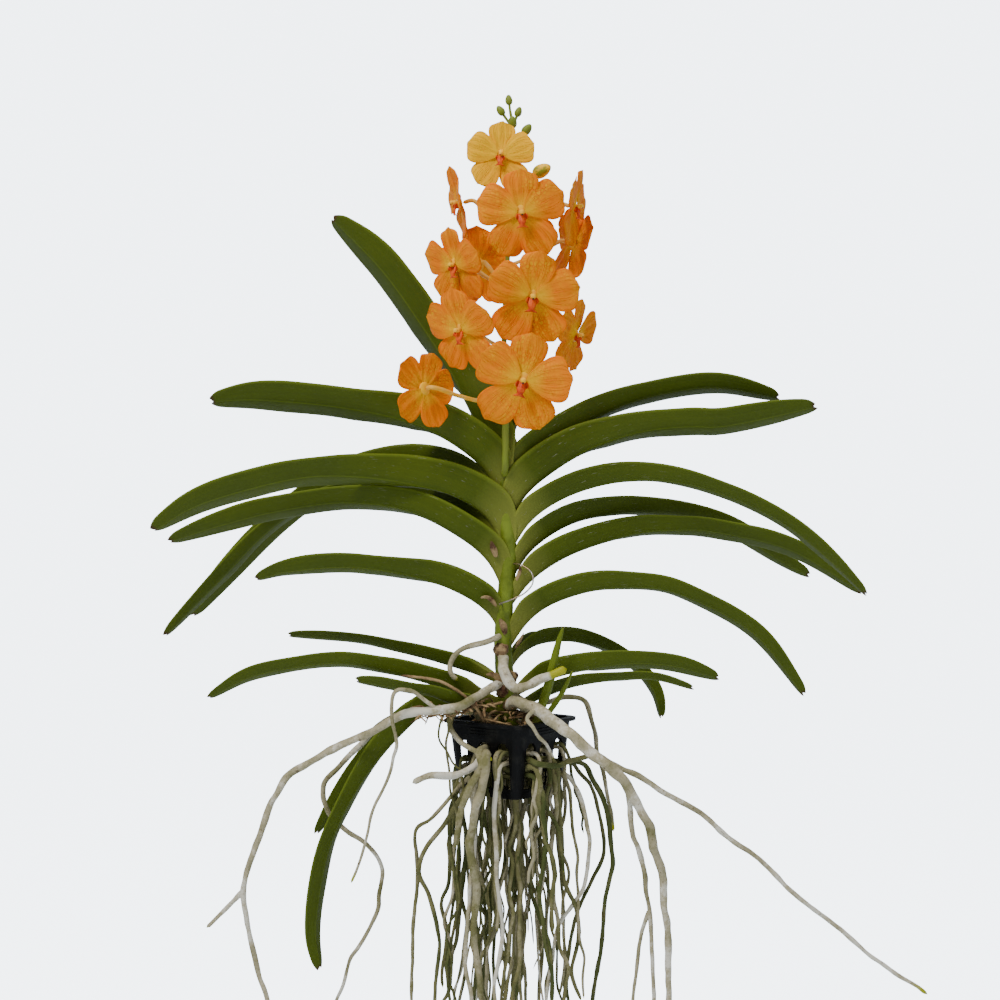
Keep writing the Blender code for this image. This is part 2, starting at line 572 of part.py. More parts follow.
def make_bloom_parts(matrix, size):
    """Closed pieces of one bloom: hub, five tepals, three lip lobes and the column."""
    place = matrix @ Matrix.Scale(size * MM, 4)
    parts = []
    hub = bmesh.new()
    bmesh.ops.create_uvsphere(hub, u_segments=5, v_segments=4, radius=HUB_RADIUS)
    bmesh.ops.transform(hub, matrix=Matrix.Translation((0.0, 0.0, -HUB_SINK)), verts=hub.verts)
    parts.append(hub)
    for _, angle, length, half_width, layer in TEPALS:
        parts.append(make_tepal(angle, length, half_width, layer))
    column = bmesh.new()
    bmesh.ops.create_cone(column, cap_ends=True, segments=6, radius1=2.4, radius2=1.8, depth=9.0)
    bmesh.ops.transform(column, matrix=Matrix.Translation((0.0, 1.2, 4.0)) @ Matrix.Rotation(-0.25, 4, "X"),
                        verts=column.verts)
    parts.append(column)
    for spread, width, reach in ((-0.8, 2.4, 7.0), (0.0, 4.2, 13.0), (0.8, 2.4, 7.0)):
        lobe = bmesh.new()
        bmesh.ops.create_cube(lobe, size=1.0)
        for vertex in lobe.verts:
            tip = vertex.co.y < 0.0
            vertex.co = Vector((vertex.co.x * width * (1.5 if tip else 1.0), -reach if tip else 0.5,
                                vertex.co.z * 1.6 + (5.0 if tip else 1.5)))
        bmesh.ops.transform(lobe, matrix=Matrix.Rotation(spread, 4, "Z"), verts=lobe.verts)
        parts.append(lobe)
    meshes = []
    for part in parts:
        bmesh.ops.transform(part, matrix=place, verts=part.verts)
        bmesh.ops.recalc_face_normals(part, faces=part.faces)
        meshes.append(mesh_from_bmesh("bloom_part", part))
    return meshes


def build_blooms(collection, orange, yellow):
    """Every open bloom, in one piece each."""
    for name, (centre, size, turn, tilt, lean, _) in BLOOMS.items():
        parts = make_bloom_parts(bloom_matrix(centre, turn, tilt, lean), size)
        material = yellow if name == "bloom_01" else orange
        apply_boolean(name, parts[0], parts[1:], "UNION", collection, material)


def spike_point(height):
    """Point of the spike's axis at a height in millimetres."""
    for low, high in zip(SPIKE_AXIS, SPIKE_AXIS[1:]):
        if height <= high[2]:
            part = (height - low[2]) / (high[2] - low[2])
            return Vector(low).lerp(Vector(high), part)
    return Vector(SPIKE_AXIS[-1])


def build_spike(collection, material, stem_room):
    """Flower stalk with a short stalk behind each bloom and buds at its tip, in one piece."""
    axis = millimetres(SPIKE_AXIS)
    parts = []
    for centre, size, turn, tilt, lean, height in BLOOMS.values():
        matrix = bloom_matrix(centre, turn, tilt, lean)
        hub = (HUB_RADIUS + HUB_SINK) * size * MM
        back = matrix @ Vector((0.0, 0.0, -(hub + 2.0 * GAP)))
        behind = matrix @ Vector((0.0, 0.0, -(hub + STALK_RUN)))
        start = spike_point(height) * MM
        middle = start.lerp(behind, 0.55) - Vector((0.0, 0.0, 1.5 * MM))
        parts.append(make_tube("stalk", [start, middle, behind, back], STALK_RADIUS * 1.2, STALK_RADIUS * 1.3,
                               STALK_STEP, ROOT_SIDES_RESOLUTION))
    for centre, radius in BUDS:
        place = Vector(centre)
        joint = spike_point(centre[2] - BUD_DROP)
        parts.append(make_ball("bud", place * MM, radius * MM, 1.35, (place - joint)))
        parts.append(make_tube("bud_stalk", [joint * MM, joint.lerp(place, 0.5) * MM, place * MM], 1.0 * MM, 1.2 * MM,
                               STALK_STEP, ROOT_SIDES_RESOLUTION))
    core = make_tube("flower_spike", axis, SPIKE_RADIUS, SPIKE_TIP_RADIUS, SPIKE_STEP, 1)
    whole = apply_boolean("spike_whole", core, parts, "UNION", collection, None)
    mesh = whole.data
    bpy.data.objects.remove(whole, do_unlink=True)
    return apply_boolean("flower_spike", mesh, [stem_room], "DIFFERENCE", collection, material)


def grown_copy(mesh, amount):
    """A copy of a closed mesh with its surface moved outwards."""
    shape = bmesh.new()
    shape.from_mesh(mesh)
    shape.normal_update()
    moves = [vertex.normal * amount for vertex in shape.verts]
    for vertex, move in zip(shape.verts, moves):
        vertex.co += move
    return mesh_from_bmesh("room", shape)


def build_free_roots(collection, silver, brown, stem_room, clump_room):
    """Roots that leave the stem or the clump and hang free, one node for each with its branches."""
    for name, branches in FREE_ROOTS.items():
        tubes = []
        for route, start_radius, end_radius in branches:
            tubes.append(make_tube(name, millimetres(route), start_radius * MM, end_radius * MM, ROOT_STEP,
                                   1 if start_radius > 3.5 else ROOT_SIDES_RESOLUTION))
        mesh = tubes[0]
        if len(tubes) > 1:
            whole = apply_boolean(name + "_whole", tubes[0], tubes[1:], "UNION", collection, None)
            mesh = whole.data
            bpy.data.objects.remove(whole, do_unlink=True)
        rooms = [stem_room, clump_room]
        apply_boolean(name, mesh, rooms, "DIFFERENCE", collection, brown if name == "dry_stalk" else silver)


def strand_routes():
    """Routes, in metres, of the strands that hang from the clump, with their radii."""
    draw = random.Random(STRAND_SEED)
    turn = basket_matrix()
    strands = []
    for index in range(FLOOR_STRANDS):
        row, column = index % 3 - 1, (index // 3) % 3 - 1
        shift = Vector((draw.uniform(-3.6, 3.6), draw.uniform(-3.6, 3.6), 0.0)) * MM
        hole = turn @ (Vector((row * FLOOR_PITCH, column * FLOOR_PITCH, 0.0)) + shift)
        radius = draw.uniform(1.5, 2.7) * MM
        lean = draw.uniform(-14.0, 14.0) * MM
        reach = draw.uniform(175.0, 265.0) * MM
        points = [Vector((hole.x * 0.7, hole.y * 0.7, CLUMP_FOOT + 10.0 * MM)), Vector((hole.x, hole.y, -57.0 * MM)),
                  Vector((hole.x, hole.y, -71.0 * MM))]
        steps = 5
        for step in range(1, steps + 1):
            part = step / steps
            spread = 1.0 + 0.75 * part
            points.append(Vector((hole.x * spread + lean * part + draw.uniform(-5.0, 5.0) * MM,
                                  hole.y * spread + draw.uniform(-5.0, 5.0) * MM,
                                  -71.0 * MM - reach * part)))
        strands.append((points, radius, radius * 0.62))
    for index in range(SLOT_STRANDS):
        side, slot = index % 4, (index // 4) % 3 - 1
        face = turn @ Matrix.Rotation(math.radians(90.0 * side), 4, "Z")
        level = draw.uniform(-44.0, -32.0) * MM
        radius = draw.uniform(1.7, 2.6) * MM
        across = slot * SLOT_PITCH + draw.uniform(-1.8, 1.8) * MM
        wall = half_side(level)
        reach = draw.uniform(170.0, 270.0) * MM
        out = draw.uniform(9.0, 15.0) * MM
        points = [face @ Vector((across * 0.7, -15.0 * MM, level + 3.0 * MM)),
                  face @ Vector((across, -wall + 5.0 * MM, level)),
                  face @ Vector((across, -wall - 5.0 * MM, level - 2.0 * MM)),
                  face @ Vector((across, -wall - out, level - 16.0 * MM))]
        below = points[-1].copy()
        for step in range(1, 6):
            part = step / 5.0
            points.append(Vector((below.x * (1.0 + 0.25 * part) + draw.uniform(-5.0, 5.0) * MM,
                                  below.y * (1.0 + 0.15 * part) + draw.uniform(-5.0, 5.0) * MM,
                                  below.z - reach * part)))
        strands.append((points, radius, radius * 0.6))
    return strands


def make_clump():
    """Core of the root clump in the basket."""
    shape = bmesh.new()
    bmesh.ops.create_cone(shape, cap_ends=True, segments=10, radius1=CLUMP_RADIUS * 0.86, radius2=CLUMP_RADIUS,
                          depth=CLUMP_TOP - CLUMP_FOOT)
    middle = (CLUMP_TOP + CLUMP_FOOT) * 0.5
    bmesh.ops.transform(shape, matrix=Matrix.Translation((0.0, 0.0, middle)), verts=shape.verts)
    return mesh_from_bmesh("clump", shape)


def build_basket_roots(collection, material, clump):
    """Clump in the basket with every strand that hangs from it, in one piece."""
    tubes = [make_tube("strand", route, start, end, STRAND_STEP, ROOT_SIDES_RESOLUTION)
             for route, start, end in strand_routes()]
    return apply_boolean("basket_roots", clump, tubes, "UNION", collection, material)


def build_small_pieces(collection, leaf, wire, stem_room, clump_room):
    """Tie wire round the stem and the young shoot beside it."""
    loop = make_tube("tie_wire", millimetres(TIE_WIRE), TIE_WIRE_RADIUS, TIE_WIRE_RADIUS, 7.0 * MM,
                     ROOT_SIDES_RESOLUTION)
    apply_boolean("tie_wire", loop, [stem_room], "DIFFERENCE", collection, wire)
    blades = [make_strip("shoot", millimetres(route), (0.0, None), SHOOT_COUNTS, half_width * MM, 0.0,
                         SHOOT_THICK, shoot_profile) for route, half_width in SHOOT_BLADES]
    whole = apply_boolean("young_shoot_whole", blades[0], blades[1:], "UNION", collection, None)
    mesh = whole.data
    bpy.data.objects.remove(whole, do_unlink=True)
    apply_boolean("young_shoot", mesh, [clump_room], "DIFFERENCE", collection, leaf)


def main():
    """Build every piece of the orchid."""
    clear_scene()
    collection = make_collection("vanda_orchid")
    materials = {name: make_material(name) for name in COLOURS}
    clump = make_clump()
    clump_room = grown_copy(clump, ROOM)
    build_basket(collection, materials["basket_plastic"])
    stem_room = grown_copy(build_stem(collection, materials["stem_green"]).data, ROOM)
    build_leaves(collection, materials["leaf_green"], stem_room)
    build_blooms(collection, materials["bloom_orange"], materials["bloom_yellow"])
    build_spike(collection, materials["spike_green"], stem_room)
    build_free_roots(collection, materials["root_silver"], materials["dry_brown"], stem_room, clump_room)
    build_small_pieces(collection, materials["leaf_green"], materials["tie_wire"], stem_room, clump_room)
    build_basket_roots(collection, materials["root_olive"], clump)


main()
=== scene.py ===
"""Looks of a vanda orchid: strap leaves, a spike of orange blooms, free roots and a slatted basket."""

import json
import logging
import math
import random
from dataclasses import dataclass
from enum import Enum
from typing import Callable, Iterator, Union

import bmesh
import bpy
from mathutils import Matrix, Vector, noise

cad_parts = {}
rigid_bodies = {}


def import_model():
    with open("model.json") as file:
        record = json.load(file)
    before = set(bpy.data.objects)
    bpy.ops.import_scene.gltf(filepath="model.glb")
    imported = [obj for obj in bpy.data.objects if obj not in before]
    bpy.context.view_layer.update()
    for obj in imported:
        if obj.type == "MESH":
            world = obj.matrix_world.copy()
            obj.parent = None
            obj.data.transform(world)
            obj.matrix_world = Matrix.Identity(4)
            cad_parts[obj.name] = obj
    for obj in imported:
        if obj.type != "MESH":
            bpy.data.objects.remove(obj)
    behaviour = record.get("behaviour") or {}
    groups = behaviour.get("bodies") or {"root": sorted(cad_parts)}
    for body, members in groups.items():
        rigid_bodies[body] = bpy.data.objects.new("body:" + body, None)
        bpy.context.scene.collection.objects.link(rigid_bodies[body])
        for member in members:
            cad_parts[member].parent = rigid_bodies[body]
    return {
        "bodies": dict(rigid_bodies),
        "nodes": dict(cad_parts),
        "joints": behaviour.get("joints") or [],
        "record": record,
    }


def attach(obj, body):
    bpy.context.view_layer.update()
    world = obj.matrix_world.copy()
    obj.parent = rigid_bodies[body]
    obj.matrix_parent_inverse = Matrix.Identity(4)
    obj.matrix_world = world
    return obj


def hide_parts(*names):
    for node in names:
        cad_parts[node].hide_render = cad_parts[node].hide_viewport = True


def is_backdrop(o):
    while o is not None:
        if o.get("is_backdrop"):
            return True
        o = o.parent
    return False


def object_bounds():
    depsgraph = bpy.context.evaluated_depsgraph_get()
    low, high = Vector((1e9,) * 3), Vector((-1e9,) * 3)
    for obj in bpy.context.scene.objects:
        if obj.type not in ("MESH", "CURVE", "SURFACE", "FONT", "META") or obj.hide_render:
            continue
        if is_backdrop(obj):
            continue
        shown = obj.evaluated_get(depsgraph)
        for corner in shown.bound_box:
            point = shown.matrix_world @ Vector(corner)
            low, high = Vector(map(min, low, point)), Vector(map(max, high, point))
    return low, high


MM = 0.001
LOG = logging.getLogger("vanda")
Point = tuple[float, float, float]
Profile = Callable[[float], Point]
Bloom = tuple[Point, float, float, float, float, float]

# The camera stands where the photo was taken: a little above the leaves' plane.
PIXEL = 0.85 * MM
CAMERA_DISTANCE = 2.7
CAMERA_TILT = math.radians(4.0)
CAMERA_AIM = Vector((-0.0085, 0.0, 0.18615))
IMAGE_PIXELS = 1000
SENSOR = 36.0

# Lights: a name, a place and a size in metres, a power in watts and a colour. Then the light of
# the sky, and how far the floor lies below the lowest root.
LIGHTS = [
    ("key", (-0.9, -1.1, 1.9), 0.6, 37.0, (1.0, 0.96, 0.90)),
    ("fill_right", (1.8, -1.6, 0.5), 1.6, 5.0, (0.95, 0.97, 1.0)),
    ("top", (0.3, 0.2, 2.1), 1.4, 16.0, (1.0, 1.0, 1.0)),
]
SKY_LIGHT = (0.42, 0.44, 0.46)
FLOOR_BELOW = 30.0 * MM

# Basket and the clump inside it, as they are packed.
BASKET_SIDE = 78.0 * MM
BASKET_FOOT_SIDE = 66.0 * MM
BASKET_HEIGHT = 64.0 * MM
BASKET_TURN = math.radians(-37.0)
SLOT_PITCH = 19.5 * MM
FLOOR_PITCH = 19.0 * MM
ABOVE_FLOOR = -57.0 * MM
BELOW_FLOOR = -71.0 * MM
CLUMP_TOP = -18.0 * MM
CLUMP_FOOT = -50.0 * MM
CLUMP_RADIUS = 25.0 * MM

# Stem: its axis from foot to growing tip.
STEM_AXIS = [
    (-1, 0, -16), (-3, 0, 20), (-6, 0, 60), (-4, 0, 100), (-1, 0, 140), (-4, 0, 180), (-5, 2, 214),
]
STEM_RADIUS = 8.5 * MM
STEM_TIP_RADIUS = 6.0 * MM
SHEATH_START = 4.0 * MM
SHEATH_REACH = 42.0 * MM

# Leaves: a route in millimetres from the stem's axis, half the blade's width, and how far it
# rolls to face forward.
LEAVES = {
    "leaf_left_upright": ([
        (-4, 0, 192), (-24, 8, 238), (-48, 16, 290), (-76, 20, 335), (-108, 19, 380),
        (-151, 12, 425)], 18.5, 68.0),
    "leaf_left_upper": ([
        (-4, 0, 174), (-20, -2, 208), (-45, -6, 232), (-77, -12, 250), (-131, -18, 264), (-208, -22, 272),
        (-252, -24, 271)], 17.0, 50.0),
    "leaf_left_rear": ([
        (-4, 0, 154), (-20, 6, 184), (-50, 22, 207), (-95, 44, 213), (-148, 68, 200), (-202, 94, 161),
        (-250, 116, 113), (-284, 132, 73)], 12.0, 42.0),
    "leaf_left_broad": ([
        (-3, 0, 134), (-18, -3, 168), (-42, -8, 187), (-72, -14, 198), (-130, -28, 208), (-185, -38, 206),
        (-258, -42, 186), (-300, -38, 163)], 16.0, 50.0),
    "leaf_left_droop": ([
        (-2, 0, 118), (-19, 6, 150), (-46, 16, 172), (-77, 28, 184), (-112, 38, 188), (-150, 46, 186),
        (-184, 50, 174), (-216, 48, 150), (-247, 44, 118), (-298, 36, 66)], 10.5, 36.0),
    "leaf_left_under": ([
        (-2, 0, 98), (-18, -2, 132), (-45, -6, 156), (-88, -6, 178), (-143, 0, 184), (-199, 6, 176),
        (-247, 8, 164), (-291, 8, 150)], 13.0, 44.0),
    "leaf_left_middle": ([
        (-4, 0, 62), (-18, -2, 88), (-45, -8, 108), (-77, -14, 121), (-131, -22, 131), (-186, -28, 128),
        (-214, -30, 121)], 12.0, 46.0),
    "leaf_left_low_rear": ([
        (-3, 2, 26), (-30, 10, 36), (-64, 16, 46), (-97, 20, 55), (-130, 20, 63),
        (-190, 16, 69)], 8.0, 40.0),
    "leaf_left_low": ([
        (-3, 0, 10), (-32, -6, 17), (-64, -12, 29), (-107, -16, 42), (-150, -18, 49), (-215, -18, 39),
        (-256, -16, 19)], 9.0, 45.0),
    "leaf_left_short": ([
        (-2, -2, 2), (-26, -22, 9), (-51, -32, 17), (-74, -34, 26), (-130, -32, 36)], 7.0, 30.0),
    "leaf_left_hanging": ([
        (-2, 2, 0), (-34, 2, 8), (-68, -6, 6), (-92, -14, -12), (-116, -18, -38), (-138, -20, -72),
        (-154, -20, -108), (-163, -20, -150), (-166, -20, -184), (-162, -18, -214)], 10.5, 55.0),
    "leaf_left_hanging_rear": ([
        (-2, 4, 2), (-36, 22, 9), (-76, 32, 4), (-108, 34, -20), (-132, 34, -48), (-150, 34, -76),
        (-168, 33, -106)], 7.0, 50.0),
    "leaf_right_upper": ([
        (-4, 0, 182), (14, 0, 212), (35, 0, 232), (78, -3, 259), (121, -5, 275), (175, -6, 282),
        (228, -6, 273)], 12.5, 46.0),
    "leaf_right_broad": ([
        (-3, 0, 160), (16, -3, 192), (56, -10, 224), (89, -16, 239), (120, -20, 247), (152, -24, 250),
        (185, -27, 251), (257, -32, 267)], 15.0, 48.0),
    "leaf_right_arch": ([
        (-1, 0, 140), (18, -2, 168), (46, -8, 188), (78, -14, 200), (110, -20, 205), (142, -26, 203),
        (174, -30, 195), (206, -34, 182), (237, -38, 164), (270, -41, 137), (299, -42, 109)], 11.0, 45.0),
    "leaf_right_rear": ([
        (-1, 0, 114), (20, 4, 144), (54, 14, 165), (90, 22, 173), (123, 30, 174), (156, 38, 170),
        (190, 45, 158), (235, 54, 130), (261, 58, 116)], 10.5, 42.0),
    "leaf_right_middle": ([
        (-2, 0, 92), (18, 0, 117), (46, 2, 136), (78, 4, 149), (111, 6, 158), (144, 8, 160),
        (177, 8, 158), (242, 8, 142), (300, 4, 107)], 11.0, 45.0),
    "leaf_right_lower": ([
        (-4, 0, 54), (14, -2, 80), (35, -6, 97), (67, -10, 109), (99, -12, 113), (132, -14, 111),
        (164, -16, 99), (196, -18, 82), (218, -20, 63), (249, -22, 22)], 10.5, 45.0),
    "leaf_right_low_bent": ([
        (-4, 2, 34), (10, 12, 52), (28, 20, 61), (57, 28, 62), (88, 32, 53), (112, 34, 36), (126, 34, 16),
        (131, 34, -5)], 8.5, 50.0),
    "leaf_right_low": ([
        (-3, 0, 14), (22, -8, 28), (46, -13, 38), (78, -16, 46), (110, -18, 49), (143, -18, 46),
        (177, -18, 36)], 9.5, 48.0),
    "leaf_right_low_rear": ([
        (-2, 4, 4), (26, 13, 14), (57, 14, 25), (90, 12, 31), (123, 10, 32), (157, 8, 24)], 6.5, 40.0),
    "leaf_top_right": ([
        (-5, 2, 196), (-1, 14, 222), (4, 21, 244), (10, 25, 272)], 11.0, 40.0),
}

# Flower spike: its axis, and the blooms. Each bloom has a centre in millimetres, a size, a turn
# to the right, a tilt upwards, a lean to the right and the height at which its stalk leaves the axis.
SPIKE_AXIS = [
    (-5, -3, 206), (-4, -14, 222), (-4, -15, 272), (-5, -14, 324), (-2, -9, 390), (2, -4, 448),
    (3, -2, 490), (-1, 0, 522),
]
SPIKE_RADIUS = 3.0 * MM
SPIKE_TIP_RADIUS = 1.3 * MM
STALK_RADIUS = 1.4 * MM
BLOOMS = {
    "bloom_01": ((-8, -36, 476), 0.76, -2.0, 4.0, 4.0, 452),
    "bloom_02": ((9, -54, 428), 0.99, 6.0, -10.0, -4.0, 404),
    "bloom_03": ((-43, -10, 437), 0.84, -78.0, -8.0, 0.0, 412),
    "bloom_04": ((54, -10, 434), 0.86, 74.0, -8.0, 8.0, 416),
    "bloom_05": ((54, 30, 404), 0.88, 116.0, -6.0, 0.0, 384),
    "bloom_06": ((-46, -42, 385), 0.86, -40.0, -12.0, -4.0, 366),
    "bloom_07": ((-28, 38, 386), 0.90, -150.0, -6.0, 0.0, 368),
    "bloom_08": ((18, -66, 359), 1.03, 6.0, -12.0, 6.0, 338),
    "bloom_09": ((-41, -62, 331), 0.94, -36.0, -14.0, -4.0, 314),
    "bloom_10": ((55, -14, 326), 0.84, 62.0, -10.0, 4.0, 312),
    "bloom_11": ((10, -82, 290), 1.08, 2.0, -10.0, 14.0, 270),
    "bloom_12": ((-72, -42, 282), 0.84, -136.0, -6.0, -18.0, 266),
    "bloom_13": ((18, 34, 430), 0.78, 150.0, -4.0, 0.0, 414),
}
BUDS = [
    ((-1, 0, 524), 3.4), ((-8, -1, 515), 3.6), ((7, -1, 514), 3.4), ((14, -6, 499), 4.2),
    ((2, -9, 505), 4.2), ((-7, 6, 500), 4.0), ((27, 6, 465), 6.5),
]

# A bloom at size 1, as seen from the front. Each tepal has an angle from straight up, a length,
# half a width, and how far forward it lies.
TEPALS = [
    ("dorsal", 0.0, 39.0, 15.0, -0.2), ("petal_left", 70.0, 40.0, 18.0, 1.8),
    ("petal_right", -70.0, 40.0, 18.0, 1.8), ("sepal_left", 146.0, 42.0, 16.5, -0.4),
    ("sepal_right", -146.0, 42.0, 16.5, -1.9),
]
TEPAL_START = 3.2
HUB_RADIUS = 4.2
HUB_BACK = 5.2

# Dry scraps on the stem: a route and half a width. Dark knots: a centre and a radius.
BRACTS = [
    ([(-12, -9, 138), (-15, -12, 146), (-16, -13, 152)], 4.0),
    ([(-16, -6, 194), (-20, -9, 200), (-22, -9, 207)], 4.5),
    ([(-12, -9, 96), (-19, -12, 103), (-25, -13, 104)], 3.6),
    ([(-4, -10, 72), (-6, -13, 80), (-9, -13, 86)], 4.2),
    ([(5, -9, 60), (9, -11, 66), (12, -12, 74)], 3.4),
    ([(6, -9, 118), (9, -11, 125), (9, -11, 131)], 3.0),
    ([(-8, -9, 28), (-14, -13, 36), (-20, -15, 38)], 5.0),
    ([(3, -10, 8), (9, -16, 14), (18, -20, 13)], 5.0),
    ([(-12, -8, 4), (-20, -15, 8), (-30, -18, 5)], 6.0),
]
KNOTS = [((-8, -6, 59), 6.5), ((-7, -7, 24), 6.0), ((2, -6, 36), 5.0), ((-1, -7, 12), 5.5)]

# Free roots: each has a route in millimetres, a radius at its start and one at its end.
FREE_ROOTS = {
    "root_thick_crown": [
        ([(-6, -6, 54), (-5, -16, 43), (2, -25, 30), (12, -29, 30), (26, -32, 37),
          (48, -34, 46)], 5.2, 3.4)],
    "root_thick_right": [
        ([(-1, -7, 10), (5, -22, 17), (24, -40, 12), (54, -54, -9), (76, -58, -28), (97, -58, -48),
          (117, -55, -85), (128, -52, -126), (133, -50, -175), (134, -50, -235),
          (130, -48, -300)], 5.6, 2.0),
        ([(98, -57, -50), (103, -44, -92), (114, -40, -128), (118, -38, -160), (122, -38, -235),
          (119, -38, -285)], 2.6, 1.5),
        ([(118, -38, -158), (110, -34, -186), (104, -34, -240), (106, -34, -275)], 1.8, 1.2),
        ([(64, -56, -18), (84, -46, -32), (110, -40, -45), (161, -32, -77), (212, -24, -118),
          (273, -16, -173), (306, -12, -202), (334, -10, -222), (358, -8, -238)], 2.6, 1.8),
        ([(22, -39, 13), (14, -54, 7), (19, -59, 0), (24, -55, -9), (30, -45, -16),
          (37, -32, -31)], 1.9, 1.3)],
    "root_left": [
        ([(-6, 0, 31), (-18, -22, 27), (-44, -45, 15), (-68, -46, 12), (-93, -40, 7), (-144, -28, -20),
          (-187, -20, -46), (-204, -16, -73), (-218, -13, -112), (-228, -10, -150), (-222, -8, -190),
          (-208, -8, -243), (-210, -8, -285)], 4.0, 2.0),
        ([(-226, -10, -146), (-243, -6, -164), (-260, -4, -181)], 2.6, 1.6),
        ([(-60, -46, 12), (-84, -52, 30), (-97, -54, 28), (-99, -56, 8), (-95, -56, -14),
          (-101, -54, -40), (-113, -52, -66), (-121, -50, -96), (-134, -48, -134)], 1.8, 1.1)],
    "root_left_winding": [
        ([(-12, 5, -13), (-24, 8, 4), (-44, 11, 8), (-78, 12, 7), (-106, 12, -4), (-128, 12, -25),
          (-148, 12, -46), (-160, 12, -60), (-157, 12, -82), (-142, 13, -99), (-122, 14, -113),
          (-110, 14, -133), (-114, 12, -169), (-124, 10, -190), (-138, 10, -212), (-150, 10, -250),
          (-146, 10, -280)], 3.0, 1.4)],
    "root_loop": [
        ([(-6, 0, 72), (-16, -13, 68), (-40, -18, 61), (-50, -18, 50), (-50, -18, 40),
          (-44, -17, 34)], 2.6, 2.0)],
    "root_right_rear": [
        ([(10, 12, -13), (21, 20, 6), (36, 32, 10), (50, 42, 12), (65, 46, 8), (72, 46, -12),
          (76, 46, -38), (84, 44, -70), (90, 42, -106)], 2.6, 1.6)],
    "root_over_rim": [
        ([(-20, -8, -14), (-30, -13, 6), (-44, -22, 10), (-51, -30, -2), (-43, -34, -15), (-29, -41, -23),
          (-15, -52, -29)], 2.4, 2.2)],
    "dry_stalk": [
        ([(-14, -18, -14), (-21, -23, -2), (-29, -29, 13), (-41, -34, 25), (-55, -37, 34), (-68, -38, 38),
          (-92, -40, 41)], 1.5, 1.0)],
}
ROOT_TONES = {
    "root_thick_crown": 0.18, "root_thick_right": 0.2, "root_left": 0.24, "root_left_winding": 0.3,
    "root_loop": 0.28, "root_right_rear": 0.5, "root_over_rim": 0.55, "dry_stalk": 0.3,
}
TIE_WIRE = [
    (-1, 0, 132), (9, -12, 132), (18, -18, 126), (19, -22, 117), (12, -25, 109), (0, -24, 103),
    (-9, -15, 99), (-3, 0, 97),
]
TIE_WIRE_RADIUS = 0.7 * MM

# Roots that hang round the front of the basket: a route, two radii and how dark each is.
FRONT_ROOTS = [
    ([(-19, -24, -26), (-30, -46, -35), (-46, -54, -41), (-67, -58, -41),
      (-82, -60, -47)], 3.5, 2.9, 0.02),
    ([(10, -25, -30), (17, -41, -31), (25, -46, -33), (40, -30, -37), (56, -8, -35),
      (75, 0, -31)], 2.6, 2.2, 0.9),
    ([(-20, -26, -22), (-26, -46, -24), (-24, -55, -34), (-34, -60, -52), (-42, -58, -74),
      (-46, -54, -102)], 3.6, 2.6, 0.45),
    ([(-25, -20, -40), (-45, -25, -58), (-57, -28, -72), (-80, -28, -93), (-79, -26, -118),
      (-82, -24, -170), (-84, -22, -237), (-80, -20, -290)], 2.0, 1.4, 0.5),
    ([(-22, -28, -36), (-43, -34, -66), (-71, -34, -106), (-77, -32, -127), (-60, -28, -187),
      (-64, -26, -237), (-60, -24, -300)], 2.3, 1.5, 0.7),
    ([(10, 20, -40), (45, 2, -38), (63, 6, -41), (78, 2, -66), (85, 0, -93), (88, 0, -127), (80, 0, -180),
      (72, 0, -237), (66, 0, -290)], 2.3, 1.8, 0.95),
    ([(30, -5, -44), (50, -8, -50), (61, -12, -70), (68, -12, -105), (63, -14, -144), (41, -18, -177),
      (31, -18, -237), (34, -18, -280)], 2.0, 1.5, 0.06),
    ([(15, 10, -40), (52, 14, -40), (70, 16, -62), (81, 14, -118), (56, 12, -177), (49, 10, -237),
      (52, 10, -270)], 1.9, 1.4, 0.8),
    ([(-30, -24, 8), (-56, -44, 8), (-60, -48, -10), (-46, -50, -34), (-32, -46, -44)], 1.1, 0.8, 0.75),
    ([(-30, -20, 6), (-50, -36, 8), (-54, -42, -18), (-50, -44, -58), (-42, -42, -96)], 1.3, 0.9, 0.55),
    ([(-22, -24, -26), (-20, -52, -26), (-22, -59, -44), (-30, -60, -70), (-34, -56, -100),
      (-28, -50, -140), (-30, -46, -190), (-24, -44, -240)], 4.2, 2.8, 0.4),
]

# Young shoot beside the crown.
SHOOT_BLADES = [
    ([(20, -18, -14), (24, -22, 2), (31, -26, 22), (36, -29, 42), (40, -30, 62), (45, -30, 81)], 3.6),
    ([(22, -16, -14), (33, -20, 4), (42, -24, 18), (48, -27, 30), (53, -28, 44)], 2.6),
]

# How many strands leave by the basket's floor and by its slots, how many roots drape over its
# front and how many coil inside it, and how many points each has.
FLOOR_STRANDS = 22
SLOT_STRANDS = 12
DRAPES = 16
COILS = 46
COIL_POINTS = 7
FALL_STEPS = 5
HANGING_STEPS = 7

# Seeds of what is drawn at random.
STRAND_SEED = 7
CURTAIN_SEED = 33
COIL_SEED = 21
FIBRE_SEED = 12

# Rows, columns and thickness of the sheets.
LEAF_ROWS = 56
LEAF_COLUMNS = 10
LEAF_THICK = 1.5 * MM
TEPAL_ROWS = 16
TEPAL_COLUMNS = 12
TEPAL_THICK = 0.8 * MM

# Steps of a route and of a tube, the share of a tube over which its start rounds off, the gap
# under which points merge, and the one over which a root gets another bend.
TRACE_STEP = 0.05
TUBE_STEP = 3.0 * MM
TUBE_START = 0.008
MERGE_GAP = 0.01 * MM
FAR_GAP = 26.0 * MM

# Unevenness: how often a root swells and a leaf's edge waves, for each metre.
SWELLS = 90.0
EDGE_WAVES = 22.0
NOISE_ROUGHNESS = 0.55


